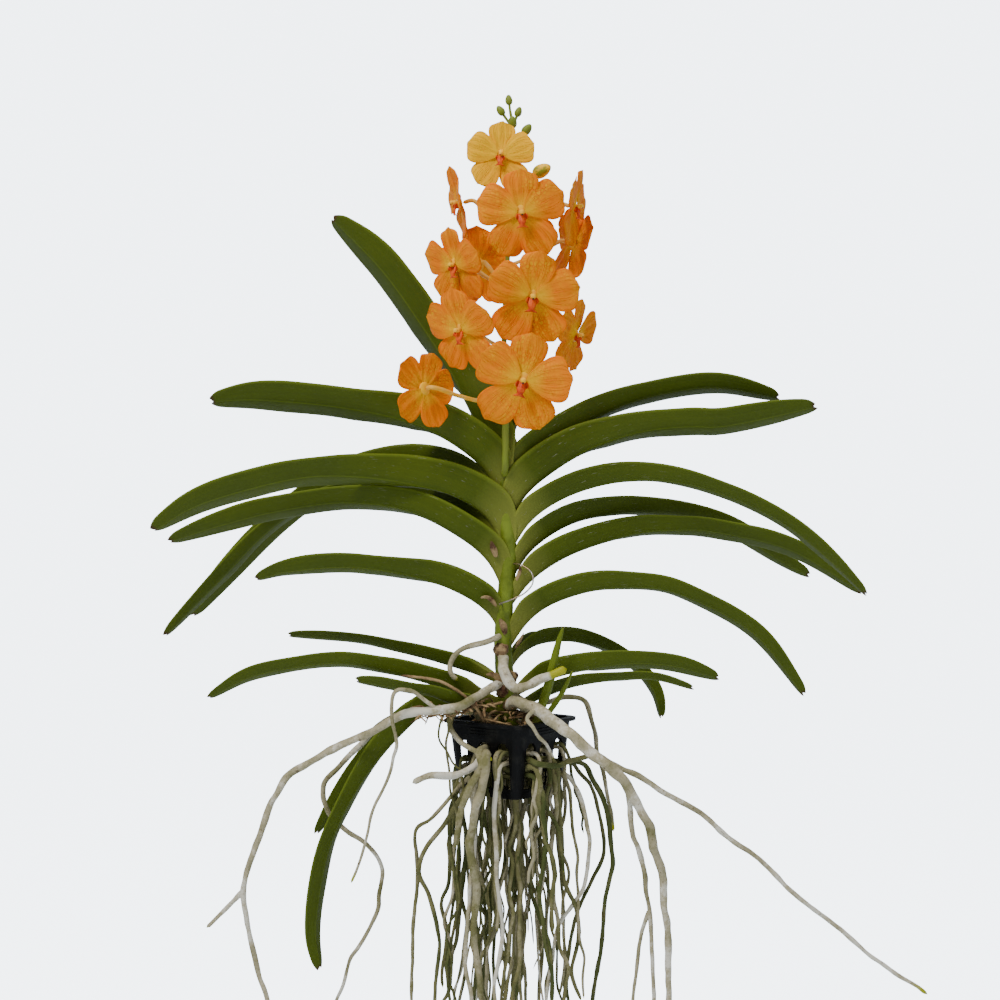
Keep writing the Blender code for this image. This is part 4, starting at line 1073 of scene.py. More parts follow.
@dataclass
class Blooms:
    """The open blooms, each with five tepals, a lip and a column."""

    places: dict[str, Bloom]
    petal: PetalFinish = PetalFinish("petal_orange")
    young: PetalFinish = PetalFinish("petal_yellow", Tone.YELLOW, Tone.YELLOW_DEEP, Tone.YELLOW,
                                     Tone.YELLOW_DEEP)
    lip: SkinFinish = SkinFinish("lip_red", Tone.LIP, Tone.LIP_DARK, 180.0, 0.42)
    column: SkinFinish = SkinFinish("column_cream", Tone.COLUMN, Tone.YELLOW, 200.0, 0.4)
    # The opening at the column's tip is painted dark brown: painted shade.
    opening_shade: SkinFinish = SkinFinish("opening_shade_skin", Tone.BROWN, Tone.LIP_DARK, 300.0, 0.35)
    widest: float = 0.68
    claw_width: float = 0.20
    cup: float = 5.0
    flare: float = 4.0
    crease: float = 1.1
    crease_width: float = 0.16
    rib: float = 0.34
    wave: float = 1.8
    softness: float = 1.9
    petal_arch: float = 2.6
    sepal_arch: float = 1.6
    end_curve: float = 3.2
    depth_limit: float = 6.5
    lip_thick: float = 0.9 * MM

    @staticmethod
    def matrix(centre: Point, turn: float, tilt: float, lean: float) -> Matrix:
        """Axes of a bloom: X to its own right, Y up and Z the way it faces.

        Args:
            centre: The bloom's centre in millimetres.
            turn: Its turn to the right, in degrees.
            tilt: Its tilt upwards, in degrees.
            lean: Its lean to the right, in degrees.

        Returns:
            The matrix that places it.
        """
        front = Matrix.Rotation(math.radians(90.0), 4, "X")
        aim = Matrix.Rotation(math.radians(turn), 4, "Z") @ Matrix.Rotation(math.radians(-tilt), 4, "X")
        spin = Matrix.Rotation(math.radians(-lean), 4, "Z")
        return Matrix.Translation(Vector(centre) * MM) @ aim @ front @ spin

    def width(self, place: float) -> float:
        """Half width of a tepal.

        Args:
            place: Place along it, from 0 to 1.

        Returns:
            The half width there, as a share of its largest.
        """
        if place < self.widest:
            return self.claw_width + (1.0 - self.claw_width) * math.sin(math.pi * 0.5 * place / self.widest)
        return math.sqrt(1.0 - 0.96 * ((place - self.widest) / (1.0 - self.widest)) ** 2)

    def tepals(self, shape: bmesh.types.BMesh, seed: int) -> None:
        """Add the five tepals of a bloom, in its own axes and millimetres.

        Args:
            shape: The bmesh.
            seed: Seed of the bloom's own unevenness.
        """
        draw = random.Random(seed)
        for index, (name, angle, length, half_width, layer) in enumerate(TEPALS):
            arch_height = self.petal_arch if name.startswith("petal") else self.sepal_arch
            bend = draw.uniform(-0.8, 0.8)
            ruffle = draw.uniform(0.5, 1.0)
            phase = draw.uniform(0.0, 6.28)
            drift = draw.uniform(-4.0, 4.0)
            reach_share = draw.uniform(0.96, 1.0)
            tilt = draw.uniform(-0.13, 0.10)
            twist = draw.uniform(-0.30, 0.30)
            made = Shapes.grid(shape, TEPAL_ROWS, TEPAL_COLUMNS)
            for vertex in made:
                place = 1.0 - ((1.0 - vertex.co.x) * 0.5) ** 1.35
                across = vertex.co.y
                width = self.width(place) * half_width
                end = max(0.0, (place - 0.8) / 0.2)
                reach = TEPAL_START + (length * reach_share - TEPAL_START) * place
                reach -= self.end_curve * across ** 2 * end ** 1.5
                reach -= 0.3 * ruffle * math.cos(across * 9.0 + phase) * end
                crease = math.exp(-(across / self.crease_width) ** 2)
                crease *= (1.0 - place) ** 0.7 * min(1.0, place * 5.0)
                ribs = math.cos(across * 12.0) * (1.0 - place * 0.7) * min(1.0, place * 4.0)
                side_phase = phase + (2.0 if across > 0.0 else 0.0)
                wave = ruffle * math.sin(place * 8.0 + side_phase) * abs(across) ** 3 * place
                arch = arch_height * across ** 2 * place * (1.0 - 0.3 * place)
                soft = noise.noise(Vector((place * 2.3, across * 1.4, seed * 2.7 + index)))
                depth = layer + (self.cup + bend) * place ** 2 - (self.flare + bend) * place ** 4
                depth += self.rib * ribs - self.crease * crease + self.wave * wave - arch
                depth += self.softness * soft * place + tilt * reach + twist * across * width * place
                vertex.co = Vector((across * width, reach, min(depth, self.depth_limit)))
            turn = Matrix.Rotation(math.radians(angle + drift), 4, "Z")
            bmesh.ops.transform(shape, matrix=turn, verts=made)

    @staticmethod
    def lip_lobes(shape: bmesh.types.BMesh) -> None:
        """Add the lip: a tongue that widens to two points, and an ear on each side.

        Args:
            shape: The bmesh.
        """
        for vertex in Shapes.grid(shape, 12, 8):
            place = (vertex.co.x + 1.0) * 0.5
            across = vertex.co.y
            width = 2.0 + 0.9 * math.sin(place * 5.0) + 3.6 * max(0.0, place - 0.74) * 3.6
            reach = 0.5 + 11.5 * place - 1.2 * (1.0 - abs(across)) * max(0.0, place - 0.8) * 5.0
            ridges = 0.55 * math.cos(across * 9.4) * (1.0 - place)
            depth = 2.6 + 4.4 * math.sin(place * 2.1) - 1.6 * across ** 2 + ridges
            vertex.co = Vector((across * width * 1.3, -reach, depth))
        for mirror in (-1.0, 1.0):
            for vertex in Shapes.grid(shape, 6, 4):
                place = (vertex.co.x + 1.0) * 0.5
                across = vertex.co.y
                height = 1.2 * 2.3 * math.sin(math.radians(35.0 + 130.0 * place))
                vertex.co = Vector((mirror * (2.6 + 2.4 * place), -2.4 + across * height, 1.0 + 4.8 * place))

    @staticmethod
    def column_parts(shape: bmesh.types.BMesh) -> None:
        """Add the column with its cap, and the short spur behind the lip.

        Args:
            shape: The bmesh.
        """
        stalk = bmesh.ops.create_cone(shape, cap_ends=True, segments=18, radius1=2.5, radius2=1.9, depth=8.0)
        Shapes.moved(shape, stalk["verts"], (0.0, 1.4, 4.0), tilt=-0.25)
        cap = bmesh.ops.create_uvsphere(shape, u_segments=18, v_segments=12, radius=2.2)
        Shapes.moved(shape, cap["verts"], (0.0, 1.9, 7.3), (1.0, 1.0, 0.8))
        spur = bmesh.ops.create_uvsphere(shape, u_segments=14, v_segments=10, radius=HUB_RADIUS)
        Shapes.moved(shape, spur["verts"], (0.0, 0.0, -0.9), (1.7, 1.7, 0.55))

    @staticmethod
    def add_opening_shade(shape: bmesh.types.BMesh) -> None:
        """Add the dark spot at the column's tip: painted shade of the opening there."""
        spot = bmesh.ops.create_uvsphere(shape, u_segments=12, v_segments=8, radius=0.85)
        Shapes.moved(shape, spot["verts"], (0.0, 0.5, 8.4), (1.1, 1.5, 0.6))

    def build(self) -> None:
        """Make every bloom."""
        orange, yellow = self.petal.build(), self.young.build()
        red, cream = self.lip.build(), self.column.build()
        dark = self.opening_shade.build()
        for number, (name, (centre, size, turn, tilt, lean, _)) in enumerate(self.places.items()):
            place = self.matrix(centre, turn, tilt, lean) @ Matrix.Scale(size * MM, 4)
            top = number == 0
            slot = "bloom_yellow" if top else "bloom_orange"
            skin = yellow if top else orange
            # The last part is a dark spot: painted shade of the opening at the column's tip.
            parts = [("tepals", lambda shape: self.tepals(shape, number + 3), skin, TEPAL_THICK),
                     ("lip", self.lip_lobes, red, self.lip_thick), ("column", self.column_parts, cream, 0.0),
                     ("opening_shade", self.add_opening_shade, dark, 0.0)]
            for part, make, material, thickness in parts:
                shape = bmesh.new()
                make(shape)
                bmesh.ops.transform(shape, matrix=place, verts=shape.verts)
                item = Shapes.finish(f"{name}_{part}", shape, material)
                if thickness:
                    Shapes.thicken(item, thickness)
                Piece.settle(item, slot, *([name] if part == "tepals" else []))


@dataclass
class Spike:
    """The flower stalk, the stalk behind each bloom, and the buds."""

    blooms: dict[str, Bloom]
    buds: list[tuple[Point, float]]
    rachis: SkinFinish = SkinFinish("rachis_green", Tone.BUD, Tone.LEAF_PALE, 70.0, 0.5)
    stalk: SkinFinish = SkinFinish("stalk_pale", Tone.STALK, Tone.YELLOW_DEEP, 60.0, 0.5)
    bud: SkinFinish = SkinFinish("bud_green", Tone.BUD, Tone.LEAF_PALE, 160.0, 0.45)
    ripe: SkinFinish = SkinFinish("bud_yellow", Tone.YELLOW, Tone.LEAF_PALE, 150.0, 0.45)
    ripe_radius: float = 6.0
    bud_swell: float = 1.03

    @staticmethod
    def point(height: float) -> Vector:
        """Point of the spike's axis.

        Args:
            height: Its height in millimetres.

        Returns:
            The point in millimetres.
        """
        for low, high in zip(SPIKE_AXIS, SPIKE_AXIS[1:]):
            if height <= high[2]:
                return Vector(low).lerp(Vector(high), (height - low[2]) / (high[2] - low[2]))
        return Vector(SPIKE_AXIS[-1])

    def build(self) -> None:
        """Make the stalk, the blooms' stalks and the buds."""
        shape = bmesh.new()
        Shapes.tube(shape, Route(millimetres(SPIKE_AXIS)), (SPIKE_RADIUS, SPIKE_TIP_RADIUS), sides=14,
                    wobble=0.2)
        for *_, height in self.blooms.values():
            knob = bmesh.ops.create_uvsphere(shape, u_segments=12, v_segments=8, radius=SPIKE_RADIUS * 1.12)
            Shapes.moved(shape, knob["verts"], self.point(height) * MM, (1.0, 1.0, 0.7))
        Piece.settle(Shapes.finish("fine_rachis", shape, self.rachis.build()), "spike_green", "flower_spike")
        shape = bmesh.new()
        for centre, size, turn, tilt, lean, height in self.blooms.values():
            matrix = Blooms.matrix(centre, turn, tilt, lean)
            hub = HUB_BACK * size * MM
            back = matrix @ Vector((0.0, 0.0, -hub * 0.7))
            behind = matrix @ Vector((0.0, 0.0, -hub - 9.0 * MM))
            start = self.point(height) * MM
            middle = start.lerp(behind, 0.55) - Vector((0.0, 0.0, 1.5 * MM))
            radii = (STALK_RADIUS * 1.15, STALK_RADIUS * 1.4)
            Shapes.tube(shape, Route([start, middle, behind, back]), radii, step=2.0 * MM, wobble=0.25,
                        seed=height)
        Piece.settle(Shapes.finish("bloom_stalks", shape, self.stalk.build()), "spike_green")
        green, ripe = bmesh.new(), bmesh.new()
        for centre, radius in self.buds:
            spot = Vector(centre)
            joint = self.point(centre[2] - 14.0)
            shape = ripe if radius > self.ripe_radius else green
            self.add_bud(shape, spot, joint, radius * self.bud_swell)
        Piece.settle(Shapes.finish("green_buds", green, self.bud.build()), "spike_green")
        Piece.settle(Shapes.finish("yellow_bud", ripe, self.ripe.build()), "bloom_yellow")

    @staticmethod
    def add_bud(shape: bmesh.types.BMesh, spot: Vector, joint: Vector, radius: float) -> None:
        """Add a ribbed bud and its stalk.

        Args:
            shape: The bmesh.
            spot: Centre of the bud, in millimetres.
            joint: Where its stalk leaves the axis, in millimetres.
            radius: Its radius in millimetres.
        """
        ball = bmesh.ops.create_uvsphere(shape, u_segments=20, v_segments=14, radius=1.0)["verts"]
        for vertex in ball:
            turn = math.atan2(vertex.co.y, vertex.co.x)
            waist = 1.0 - 0.07 * abs(math.cos(turn * 1.5))
            slim = 0.92 - 0.16 * vertex.co.z
            thin = waist * slim
            vertex.co = Vector((vertex.co.x * thin, vertex.co.y * thin, vertex.co.z * 1.3)) * radius
        turn = (spot - joint).to_track_quat("Z", "Y").to_matrix().to_4x4()
        bmesh.ops.transform(shape, matrix=Matrix.Scale(MM, 4) @ Matrix.Translation(spot) @ turn, verts=ball)
        route = Route([joint * MM, joint.lerp(spot, 0.5) * MM, spot * MM])
        Shapes.tube(shape, route, (1.0 * MM, 1.3 * MM), sides=8, step=2.0 * MM)


@dataclass
class Stem:
    """The stem with its joints, dry bract scraps and the wire tie."""

    axis: list[Point]
    skin: SkinFinish = SkinFinish("stem_skin", Tone.LEAF_PALE, Tone.LEAF, 40.0, 0.5)
    dry: SkinFinish = SkinFinish("dry_bract", Tone.STRAW, Tone.BROWN, 90.0, 0.8, 0.6 * MM)
    knot: SkinFinish = SkinFinish("brown_knot", Tone.BROWN, Tone.STRAW, 120.0, 0.7, 0.6 * MM)
    wire: SkinFinish = SkinFinish("wire_grey", Tone.WIRE, Tone.STRAW, 90.0, 0.4, 0.1 * MM, 1.0)
    bract_fold: float = math.radians(40.0)
    bract_wave: float = 2.4 * MM
    bract_thick: float = 0.5 * MM
    fibre_count: int = 130

    def build(self) -> None:
        """Make the stem and the small pieces on it."""
        shape = bmesh.new()
        Shapes.tube(shape, Route(millimetres(self.axis)), (STEM_RADIUS, STEM_TIP_RADIUS), sides=24,
                    wobble=0.1, tip=0.02)
        Piece.settle(Shapes.finish("fine_stem", shape, self.skin.build()), "stem_green", "stem")
        self.build_bracts()
        self.build_fibres()
        self.build_knots()
        shape = bmesh.new()
        Shapes.tube(shape, Route(millimetres(TIE_WIRE)), (TIE_WIRE_RADIUS, TIE_WIRE_RADIUS), sides=8,
                    step=1.5 * MM, wobble=0.0)
        Piece.settle(Shapes.finish("fine_tie_wire", shape, self.wire.build()), "tie_wire", "tie_wire")

    def build_bracts(self) -> None:
        """Make the dry scraps of old leaf feet on the stem."""
        shape = bmesh.new()
        for number, (points, half_width) in enumerate(BRACTS):
            Shapes.strap(shape, Route(millimetres(points)), 0.0, (10, 6), half_width * MM, 30.0,
                         lambda place: (max(0.08, math.sin(0.5 + 2.4 * place)), self.bract_fold, 1.0),
                         self.bract_wave, number * 2.3)
        item = Shapes.finish("dry_bracts", shape, self.dry.build())
        Shapes.thicken(item, self.bract_thick)
        Piece.settle(item, "dry_brown")

    def build_fibres(self) -> None:
        """Make the dry fibres and dead root ends that lie on the basket's mouth."""
        draw = random.Random(FIBRE_SEED)
        shape = bmesh.new()
        for number in range(self.fibre_count):
            angle = draw.uniform(0.0, 2.0 * math.pi)
            radius = draw.uniform(9.0, 33.0) * MM
            level = draw.uniform(-10.0, 7.0) * MM
            middle = Vector((radius * math.cos(angle), radius * math.sin(angle), level))
            if number % 3 == 0:
                along = draw.uniform(0.0, 1.0)
                middle = Vector((-14.0 - 60.0 * along, -22.0 - 20.0 * along, 14.0 - 8.0 * along)) * MM
                middle += scatter(draw, (-6.0, 6.0), (-6.0, 6.0), (-4.0, 5.0)) * MM
            way = scatter(draw, (-1.0, 1.0), (-1.0, 1.0), (-0.3, 0.35)).normalized()
            half = draw.uniform(6.0, 17.0) * MM
            bend = scatter(draw, (-4.0, 4.0), (-4.0, 4.0), (0.0, 5.0)) * MM
            route = Route([middle - way * half, middle - way * half * 0.3 + bend, middle + way * half * 0.4,
                           middle + way * half - bend])
            Shapes.tube(shape, route, (draw.uniform(0.5, 1.4) * MM, 0.5 * MM), tone=0.2, sides=6, seed=number,
                        wobble=0.3, tip=0.1)
        Piece.settle(Shapes.finish("crown_fibres", shape, self.dry.build()), "dry_brown")

    def build_knots(self) -> None:
        """Make the dark knots where old leaves have fallen."""
        shape = bmesh.new()
        for centre, radius in KNOTS:
            ball = bmesh.ops.create_icosphere(shape, subdivisions=3, radius=radius * MM)["verts"]
            for vertex in ball:
                vertex.co *= 1.0 + 0.35 * noise.noise(vertex.co * 320.0 + Vector(centre))
            Shapes.moved(shape, ball, Vector(centre) * MM)
        Piece.settle(Shapes.finish("brown_knots", shape, self.knot.build()), "dry_brown")


@dataclass
class Roots:
    """The free roots, the clump in the basket and the strands that hang from it."""

    free: dict[str, list[tuple[list[Point], float, float]]]
    tones: dict[str, float]
    silver: RootFinish = RootFinish("root_silver")
    olive: RootFinish = RootFinish("root_olive", tip_start=0.985)
    growing: RootFinish = RootFinish("root_growing", tip_start=0.80)
    core_tone: float = 0.75
    coil_limits: tuple[float, float] = (-54.0 * MM, -7.0 * MM)
    coil_radius: float = 22.5
    coil_taper: float = 4.0
    floor_spread: tuple[float, float] = (0.75, 0.75)
    slot_spread: tuple[float, float] = (0.25, 0.15)
    strand_tones: tuple[float, ...] = (0.08, 0.42, 0.55, 0.66, 0.8, 0.95)
    dry: SkinFinish = SkinFinish("dry_stalk_skin", Tone.STRAW, Tone.BROWN, 70.0, 0.85, 0.5 * MM)

    def build(self) -> None:
        """Make every root."""
        silver, olive, dry = self.silver.build(), self.olive.build(), self.dry.build()
        growing = self.growing.build()
        for name, branches in self.free.items():
            shape = bmesh.new()
            for number, (points, start, end) in enumerate(branches):
                route = Route(self.uneven(millimetres(points), number + len(name)))
                tone = self.tones[name] + 0.05 * (number % 3 - 1)
                Shapes.tube(shape, route, (start * MM, end * MM), tone=tone, sides=14 if start > 3.0 else 10,
                            step=2.5 * MM, seed=number * 4.0, wobble=0.3, tip=0.012)
            material, slot = (dry, "dry_brown") if name == "dry_stalk" else (silver, "root_silver")
            material = growing if name == "root_thick_crown" else material
            Piece.settle(Shapes.finish("fine_" + name, shape, material), slot, name)
        self.build_clump(olive)
        self.build_strands(olive)

    @staticmethod
    def uneven(points: list[Vector], seed: int, share: float = 0.035) -> list[Vector]:
        """Points with small bends added between them, as roots have.

        Args:
            points: The route's own points.
            seed: Seed of the bends.
            share: Size of a bend as a share of the gap that it is in.

        Returns:
            The points with one more between each two of the far ones.
        """
        draw = random.Random(seed)
        result = [points[0]]
        for first, second in zip(points, points[1:]):
            gap = (second - first).length
            if gap > FAR_GAP:
                shift = scatter(draw, (-1.0, 1.0), (-1.0, 1.0), (-1.0, 1.0))
                result.append(first.lerp(second, draw.uniform(0.4, 0.6)) + shift * gap * share)
            result.append(second)
        return result

    def build_clump(self, material: bpy.types.Material) -> None:
        """Make the coiled roots and fibre that fill the basket.

        Args:
            material: The roots' finish.
        """
        shape = bmesh.new()
        layer = shape.verts.layers.float.new("tone")
        shape.loops.layers.uv.new("UVMap")
        core = bmesh.ops.create_cone(shape, cap_ends=True, segments=40, radius1=CLUMP_RADIUS * 0.8,
                                     radius2=CLUMP_RADIUS * 0.94, depth=CLUMP_TOP - CLUMP_FOOT)["verts"]
        Shapes.moved(shape, core, (0.0, 0.0, (CLUMP_TOP + CLUMP_FOOT) * 0.5))
        for vertex in core:
            vertex[layer] = self.core_tone
        draw = random.Random(COIL_SEED)
        turn = basket_turn()
        for number in range(COILS):
            start = draw.uniform(0.0, 2.0 * math.pi)
            sweep = draw.uniform(0.8, 2.6) * draw.choice((-1.0, 1.0))
            level = draw.uniform(-50.0, -12.0) * MM
            drift = draw.uniform(-16.0, 16.0) * MM
            points = []
            for step in range(COIL_POINTS):
                part = step / (COIL_POINTS - 1)
                angle = start + sweep * part
                square = 1.0 / max(abs(math.cos(angle)), abs(math.sin(angle)))
                height = max(self.coil_limits[0], min(self.coil_limits[1], level + drift * part))
                radius = (self.coil_radius + self.coil_taper * (height / BASKET_HEIGHT + 1.0)) * MM
                radius *= min(square, 1.22)
                radius += draw.uniform(-2, 2) * MM
                points.append(turn @ Vector((radius * math.cos(angle), radius * math.sin(angle), height)))
            radii = (draw.uniform(1.4, 2.6) * MM, draw.uniform(1.0, 1.8) * MM)
            Shapes.tube(shape, Route(points), radii, tone=draw.uniform(0.15, 0.85), sides=8, step=4.0 * MM,
                        seed=number, wobble=0.25, tip=0.05)
        Piece.settle(Shapes.finish("root_clump", shape, material), "root_olive")

    @staticmethod
    def fall(top: Vector, spread: tuple[float, float], lean: float, reach: float,
             draw: random.Random) -> list[Vector]:
        """Points of a strand that falls and moves out from the basket's middle.

        Args:
            top: Where the fall starts.
            spread: How far it moves out in X and in Y, as a share of its start.
            lean: How far it ends aside in X.
            reach: How far it falls.
            draw: Source of its wandering.

        Returns:
            The points below the top.
        """
        points = []
        for step in range(1, FALL_STEPS + 1):
            part = step / FALL_STEPS
            aside = scatter(draw, (-5.0, 5.0), (-5.0, 5.0)) * MM
            points.append(Vector((top.x * (1.0 + spread[0] * part) + lean * part + aside.x,
                                  top.y * (1.0 + spread[1] * part) + aside.y, top.z - reach * part)))
        return points

    def strand_routes(self) -> Iterator[tuple[list[Vector], float, float]]:
        """Routes of the strands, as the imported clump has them.

        Yields:
            A strand's points, and its radius at its start and at its end.
        """
        draw = random.Random(STRAND_SEED)
        turn = basket_turn()
        for index in range(FLOOR_STRANDS):
            row, column = index % 3 - 1, (index // 3) % 3 - 1
            shift = scatter(draw, (-3.6, 3.6), (-3.6, 3.6)).to_3d() * MM
            hole = turn @ (Vector((row * FLOOR_PITCH, column * FLOOR_PITCH, 0.0)) + shift)
            radius = draw.uniform(1.5, 2.7) * MM
            lean = draw.uniform(-14.0, 14.0) * MM
            reach = draw.uniform(175.0, 265.0) * MM
            points = [Vector((hole.x * 0.7, hole.y * 0.7, CLUMP_FOOT + 10.0 * MM)),
                      Vector((hole.x, hole.y, ABOVE_FLOOR)), Vector((hole.x, hole.y, BELOW_FLOOR))]
            yield points + self.fall(points[-1], self.floor_spread, lean, reach, draw), radius, radius * 0.62
        for index in range(SLOT_STRANDS):
            side, slot = index % 4, (index // 4) % 3 - 1
            face = basket_turn(side)
            level = draw.uniform(-44.0, -32.0) * MM
            radius = draw.uniform(1.7, 2.6) * MM
            across = slot * SLOT_PITCH + draw.uniform(-1.8, 1.8) * MM
            wall = wall_at(level)
            reach = draw.uniform(170.0, 270.0) * MM
            out = draw.uniform(9.0, 15.0) * MM
            points = [face @ Vector((across * 0.7, -15.0 * MM, level + 3.0 * MM)),
                      face @ Vector((across, -wall + 5.0 * MM, level)),
                      face @ Vector((across, -wall - 5.0 * MM, level - 2.0 * MM)),
                      face @ Vector((across, -wall - out, level - 16.0 * MM))]
            yield points + self.fall(points[-1], self.slot_spread, 0.0, reach, draw), radius, radius * 0.6

    def build_strands(self, material: bpy.types.Material) -> None:
        """Make the curtain of hanging strands, with finer ones between them.

        Args:
            material: The roots' finish.
        """
        draw = random.Random(CURTAIN_SEED)
        thick, thin = bmesh.new(), bmesh.new()
        for number, (points, start, end) in enumerate(self.strand_routes()):
            bent = points[:3] + self.uneven(points[2:], number + 50, 0.09)[1:]
            Shapes.tube(thick, Route(bent), (start, end), tone=draw.choice(self.strand_tones), sides=9,
                        step=3.5 * MM, seed=number * 3.0, wobble=0.3, tip=0.015)
            drift = scatter(draw, (-24.0, 18.0), (-12.0, 12.0)).to_3d() * MM
            reach = draw.uniform(60.0, 225.0) * MM
            own = points[:3] + self.hanging(points[2], drift * reach / 0.2, reach, draw)
            Shapes.tube(thin, Route(own), (start * 0.68, end * 0.6), tone=draw.uniform(0.15, 0.95), sides=7,
                        step=4.0 * MM, seed=number * 5.0, wobble=0.25)
        self.add_drapes(thick, draw)
        Piece.settle(Shapes.finish("hanging_strands", thick, material), "root_olive", "basket_roots")
        Piece.settle(Shapes.finish("fine_strands", thin, material), "root_olive")

    @staticmethod
    def hanging(above: Vector, drift: Vector, reach: float, draw: random.Random) -> list[Vector]:
        """Points of a wandering line that hangs from a place.

        Args:
            above: Where it hangs from.
            drift: How far it ends aside.
            reach: How far it hangs down.
            draw: Source of its wandering.

        Returns:
            The points below the first.
        """
        points = []
        for step in range(1, HANGING_STEPS + 1):
            part = step / HANGING_STEPS
            wander = scatter(draw, (-1.0, 1.0), (-0.8, 0.8)).to_3d() * reach / HANGING_STEPS * 0.2
            aside = drift * math.sin(part * math.pi * 0.5)
            points.append(above + aside + wander - Vector((0.0, 0.0, reach * part)))
        return points

    def add_drapes(self, shape: bmesh.types.BMesh, draw: random.Random) -> None:
        """Add roots that leave the slots high up and fall over the front of the basket.

        Args:
            shape: The bmesh.
            draw: Source of their sizes.
        """
        for index in range(DRAPES):
            side, place = index % 2, (index // 2) % 3 - 1
            face = basket_turn(side)
            level = draw.uniform(-42.0, -22.0) * MM
            across = place * SLOT_PITCH + draw.uniform(-4.0, 4.0) * MM
            wall = 0.5 * BASKET_SIDE + draw.uniform(1.0, 6.0) * MM
            bow = draw.uniform(-9.0, 9.0) * MM
            start = draw.uniform(1.2, 3.0) * MM
            points = [face @ Vector((across, -20.0 * MM, level - 2.0 * MM)),
                      face @ Vector((across, -wall + 4.0 * MM, level + draw.uniform(0.0, 5.0) * MM)),
                      face @ Vector((across + bow * 0.4, -wall - 3.0 * MM, level - 7.0 * MM)),
                      face @ Vector((across + bow, -wall - 2.0 * MM, level - 24.0 * MM))]
            drift = scatter(draw, (-16.0, 16.0), (-2.0, 10.0)).to_3d() * MM
            points += self.hanging(points[-1], drift, draw.uniform(40.0, 230.0) * MM, draw)
            Shapes.tube(shape, Route(points), (start, start * 0.6), tone=draw.uniform(0.15, 0.95), sides=9,
                        step=3.5 * MM, seed=index * 2.0, wobble=0.3, tip=0.02)
        for points, start, end, tone in FRONT_ROOTS:
            route = Route(self.uneven(millimetres(points), 5))
            Shapes.tube(shape, route, (start * MM, end * MM), tone=tone, sides=12, step=2.5 * MM, seed=start,
                        wobble=0.35, tip=0.04)


@dataclass
class Basket:
    """The slatted basket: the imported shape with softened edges, and the ridges under its lip."""

    node: bpy.types.Object
    plastic: SkinFinish = SkinFinish("basket_black", Tone.PLASTIC, Tone.PLASTIC_DUST, 70.0, 0.45, 0.1 * MM,
                                     low=0.5, high=0.78, gloss=0.12)
    edge: float = 0.35 * MM
    sharp: float = math.radians(35.0)
    ridge_size: Point = (27.0 * MM, 1.4 * MM, 0.8 * MM)
    ridge_first: float = -5.6 * MM
    ridge_pitch: float = -2.6 * MM

    def build(self) -> None:
        """Make the basket."""
        shape = bmesh.new()
        shape.from_mesh(self.node.data)
        bmesh.ops.remove_doubles(shape, verts=shape.verts, dist=2.0 * MERGE_GAP)
        bmesh.ops.dissolve_limit(shape, angle_limit=math.radians(2.0), verts=shape.verts, edges=shape.edges)
        material = self.plastic.build()
        item = Shapes.finish("fine_basket", shape, material)
        bevel = item.modifiers.new("Bevel", "BEVEL")
        bevel.width = self.edge
        bevel.segments = 2
        bevel.limit_method = "ANGLE"
        bevel.angle_limit = self.sharp
        item.data.set_sharp_from_angle(angle=self.sharp)
        Piece.settle(item, "basket_plastic", "basket")
        self.build_ridges(material)

    def build_ridges(self, material: bpy.types.Material) -> None:
        """Make three fine ridges across the middle of each plain band.

        Args:
            material: The basket's finish.
        """
        shape = bmesh.new()
        for side in range(4):
            for row in range(3):
                level = self.ridge_first + self.ridge_pitch * row
                bar = bmesh.ops.create_cube(shape, size=1.0)["verts"]
                Shapes.moved(shape, bar, (0.0, -wall_at(level), level), self.ridge_size)
                bmesh.ops.transform(shape, matrix=basket_turn(side), verts=bar)
        bmesh.ops.bevel(shape, geom=shape.edges[:], offset=0.2 * MM, segments=2, profile=0.5, affect="EDGES",
                        material=-1)
        Piece.settle(Shapes.finish("rim_ridges", shape, material), "basket_plastic")


@dataclass
class Shoot:
    """The young shoot beside the crown."""

    blades: list[tuple[list[Point], float]]
    finish: LeafFinish = LeafFinish("shoot_skin", Tone.SHEATH, Tone.LEAF_PALE, Tone.LEAF, Tone.SHEATH,
                                    0.45, 0.4)
    fold: float = math.radians(42.0)
    thick: float = 1.2 * MM
    widen: float = 1.7
    edge_wave: float = 0.4 * MM

    def profile(self, place: float) -> Point:
        """Width, fold and roll of a blade at a place from 0 to 1."""
        return 0.72 * math.sqrt(max(0.01, 1.0 - place ** 3)) + 0.25 * math.sin(3.0 * place), self.fold, 1.0

    def build(self) -> None:
        """Make both blades."""
        shape = bmesh.new()
        for number, (points, half_width) in enumerate(self.blades):
            Shapes.strap(shape, Route(millimetres(points)), 0.0, (30, 6), half_width * self.widen * MM, 30.0,
                         self.profile, self.edge_wave, number)
        item = Shapes.finish("fine_young_shoot", shape, self.finish.build())
        Shapes.thicken(item, self.thick)
        Piece.settle(item, "leaf_green", "young_shoot")


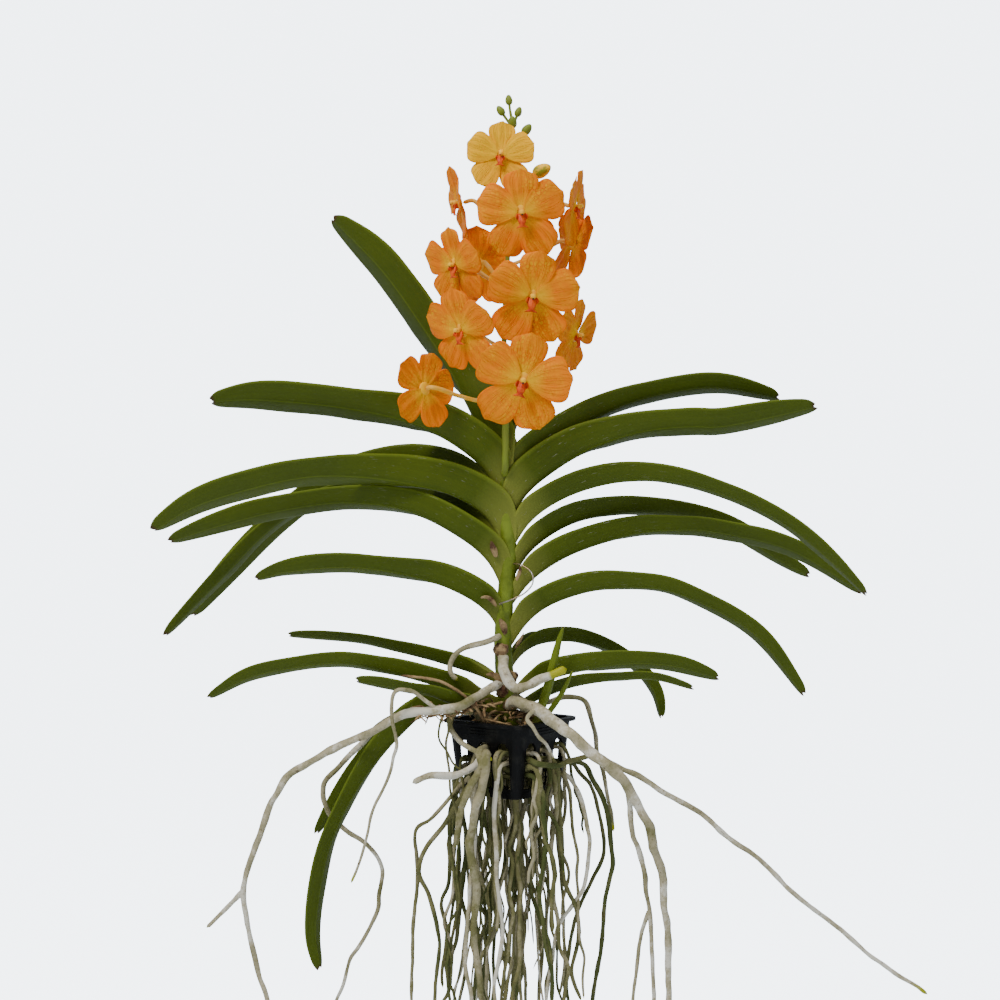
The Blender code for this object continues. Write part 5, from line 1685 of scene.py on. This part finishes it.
@dataclass
class Studio:
    """Pale backdrop, soft lights and the camera. The backdrop's glow is seen but doesn't light the plant."""

    floor_level: float
    glow: float = 5.0
    half_width: float = 4.0
    wall_distance: float = 2.2
    front_distance: float = 2.0
    bend_radius: float = 1.2
    aim: Point = (0.0, 0.0, 0.2)

    def build(self) -> None:
        """Make the studio."""
        self.build_backdrop()
        self.build_lights()
        self.build_camera()

    def build_backdrop(self) -> None:
        """Make a floor that curves up into a wall."""
        shape = bmesh.new()
        flat = self.wall_distance + self.front_distance
        for vertex in Shapes.grid(shape, 40, 2):
            run = (vertex.co.x + 1.0) * self.half_width
            past = max(0.0, run - flat)
            angle = min(past / self.bend_radius, math.pi / 2.0)
            upright = max(0.0, past - self.bend_radius * math.pi / 2.0)
            rise = self.bend_radius * (1.0 - math.cos(angle)) + upright
            depth = min(run, flat) - self.front_distance + self.bend_radius * math.sin(angle)
            vertex.co = Vector((vertex.co.y * self.half_width, depth, self.floor_level + rise))
        bmesh.ops.recalc_face_normals(shape, faces=shape.faces)
        paint = Paint("backdrop", 0.9, 0.1)
        paint.link("Base Color", paint.mix(paint.noise(paint.object_place(), 2.0, 2.0) * 0.04, Tone.BACKDROP,
                                           Tone.ROOT_WHITE))
        seen = paint.node("ShaderNodeLightPath", {}, {}, "Is Camera Ray")
        paint.link("Emission Color", paint.mix(seen, Tone.PLASTIC, Tone.BACKDROP))
        paint.shader.inputs["Emission Strength"].default_value = self.glow
        Shapes.finish("backdrop", shape, paint.material)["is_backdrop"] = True

    def build_lights(self) -> None:
        """Make the lights and the sky, which the camera sees as pale as the backdrop."""
        for name, place, size, power, colour in LIGHTS:
            light = bpy.data.lights.new(name, "AREA")
            light.size = size
            light.energy = power
            light.color = colour
            item = bpy.data.objects.new(name, light)
            bpy.context.scene.collection.objects.link(item)
            item.location = place
            item.rotation_euler = (Vector(self.aim) - item.location).to_track_quat("-Z", "Y").to_euler()
        world = bpy.data.worlds.new("sky")
        world.use_nodes = True
        sky = world.node_tree.nodes["Background"]
        seen = world.node_tree.nodes.new("ShaderNodeLightPath").outputs["Is Camera Ray"]
        tint = world.node_tree.nodes.new("ShaderNodeMix")
        tint.data_type = "RGBA"
        tint.inputs[6].default_value = (*SKY_LIGHT, 1.0)
        tint.inputs[7].default_value = (*(self.glow * 1.15 * level for level in Tone.BACKDROP.value), 1.0)
        world.node_tree.links.new(seen, tint.inputs[0])
        world.node_tree.links.new(tint.outputs[2], sky.inputs["Color"])
        bpy.context.scene.world = world

    def build_camera(self) -> None:
        """Make the camera, at the photo's angle."""
        camera = bpy.data.cameras.new("camera")
        camera.sensor_width = SENSOR
        camera.lens = SENSOR * CAMERA_DISTANCE / (PIXEL * IMAGE_PIXELS)
        item = bpy.data.objects.new("camera", camera)
        bpy.context.scene.collection.objects.link(item)
        away = Vector((0.0, -math.cos(CAMERA_TILT), math.sin(CAMERA_TILT)))
        item.location = CAMERA_AIM + away * CAMERA_DISTANCE
        item.rotation_euler = (-away).to_track_quat("-Z", "Y").to_euler()
        bpy.context.scene.camera = item


def main() -> None:
    logging.basicConfig(level=logging.INFO, format="%(name)s: %(message)s")
    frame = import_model()
    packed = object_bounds()
    Studio(packed[0][2] - FLOOR_BELOW).build()
    Basket(frame["nodes"]["basket"]).build()
    Stem(STEM_AXIS).build()
    Leaves(LEAVES).build()
    Shoot(SHOOT_BLADES).build()
    Spike(BLOOMS, BUDS).build()
    Blooms(BLOOMS).build()
    Roots(FREE_ROOTS, ROOT_TONES).build()


if __name__ == "__main__":
    main()
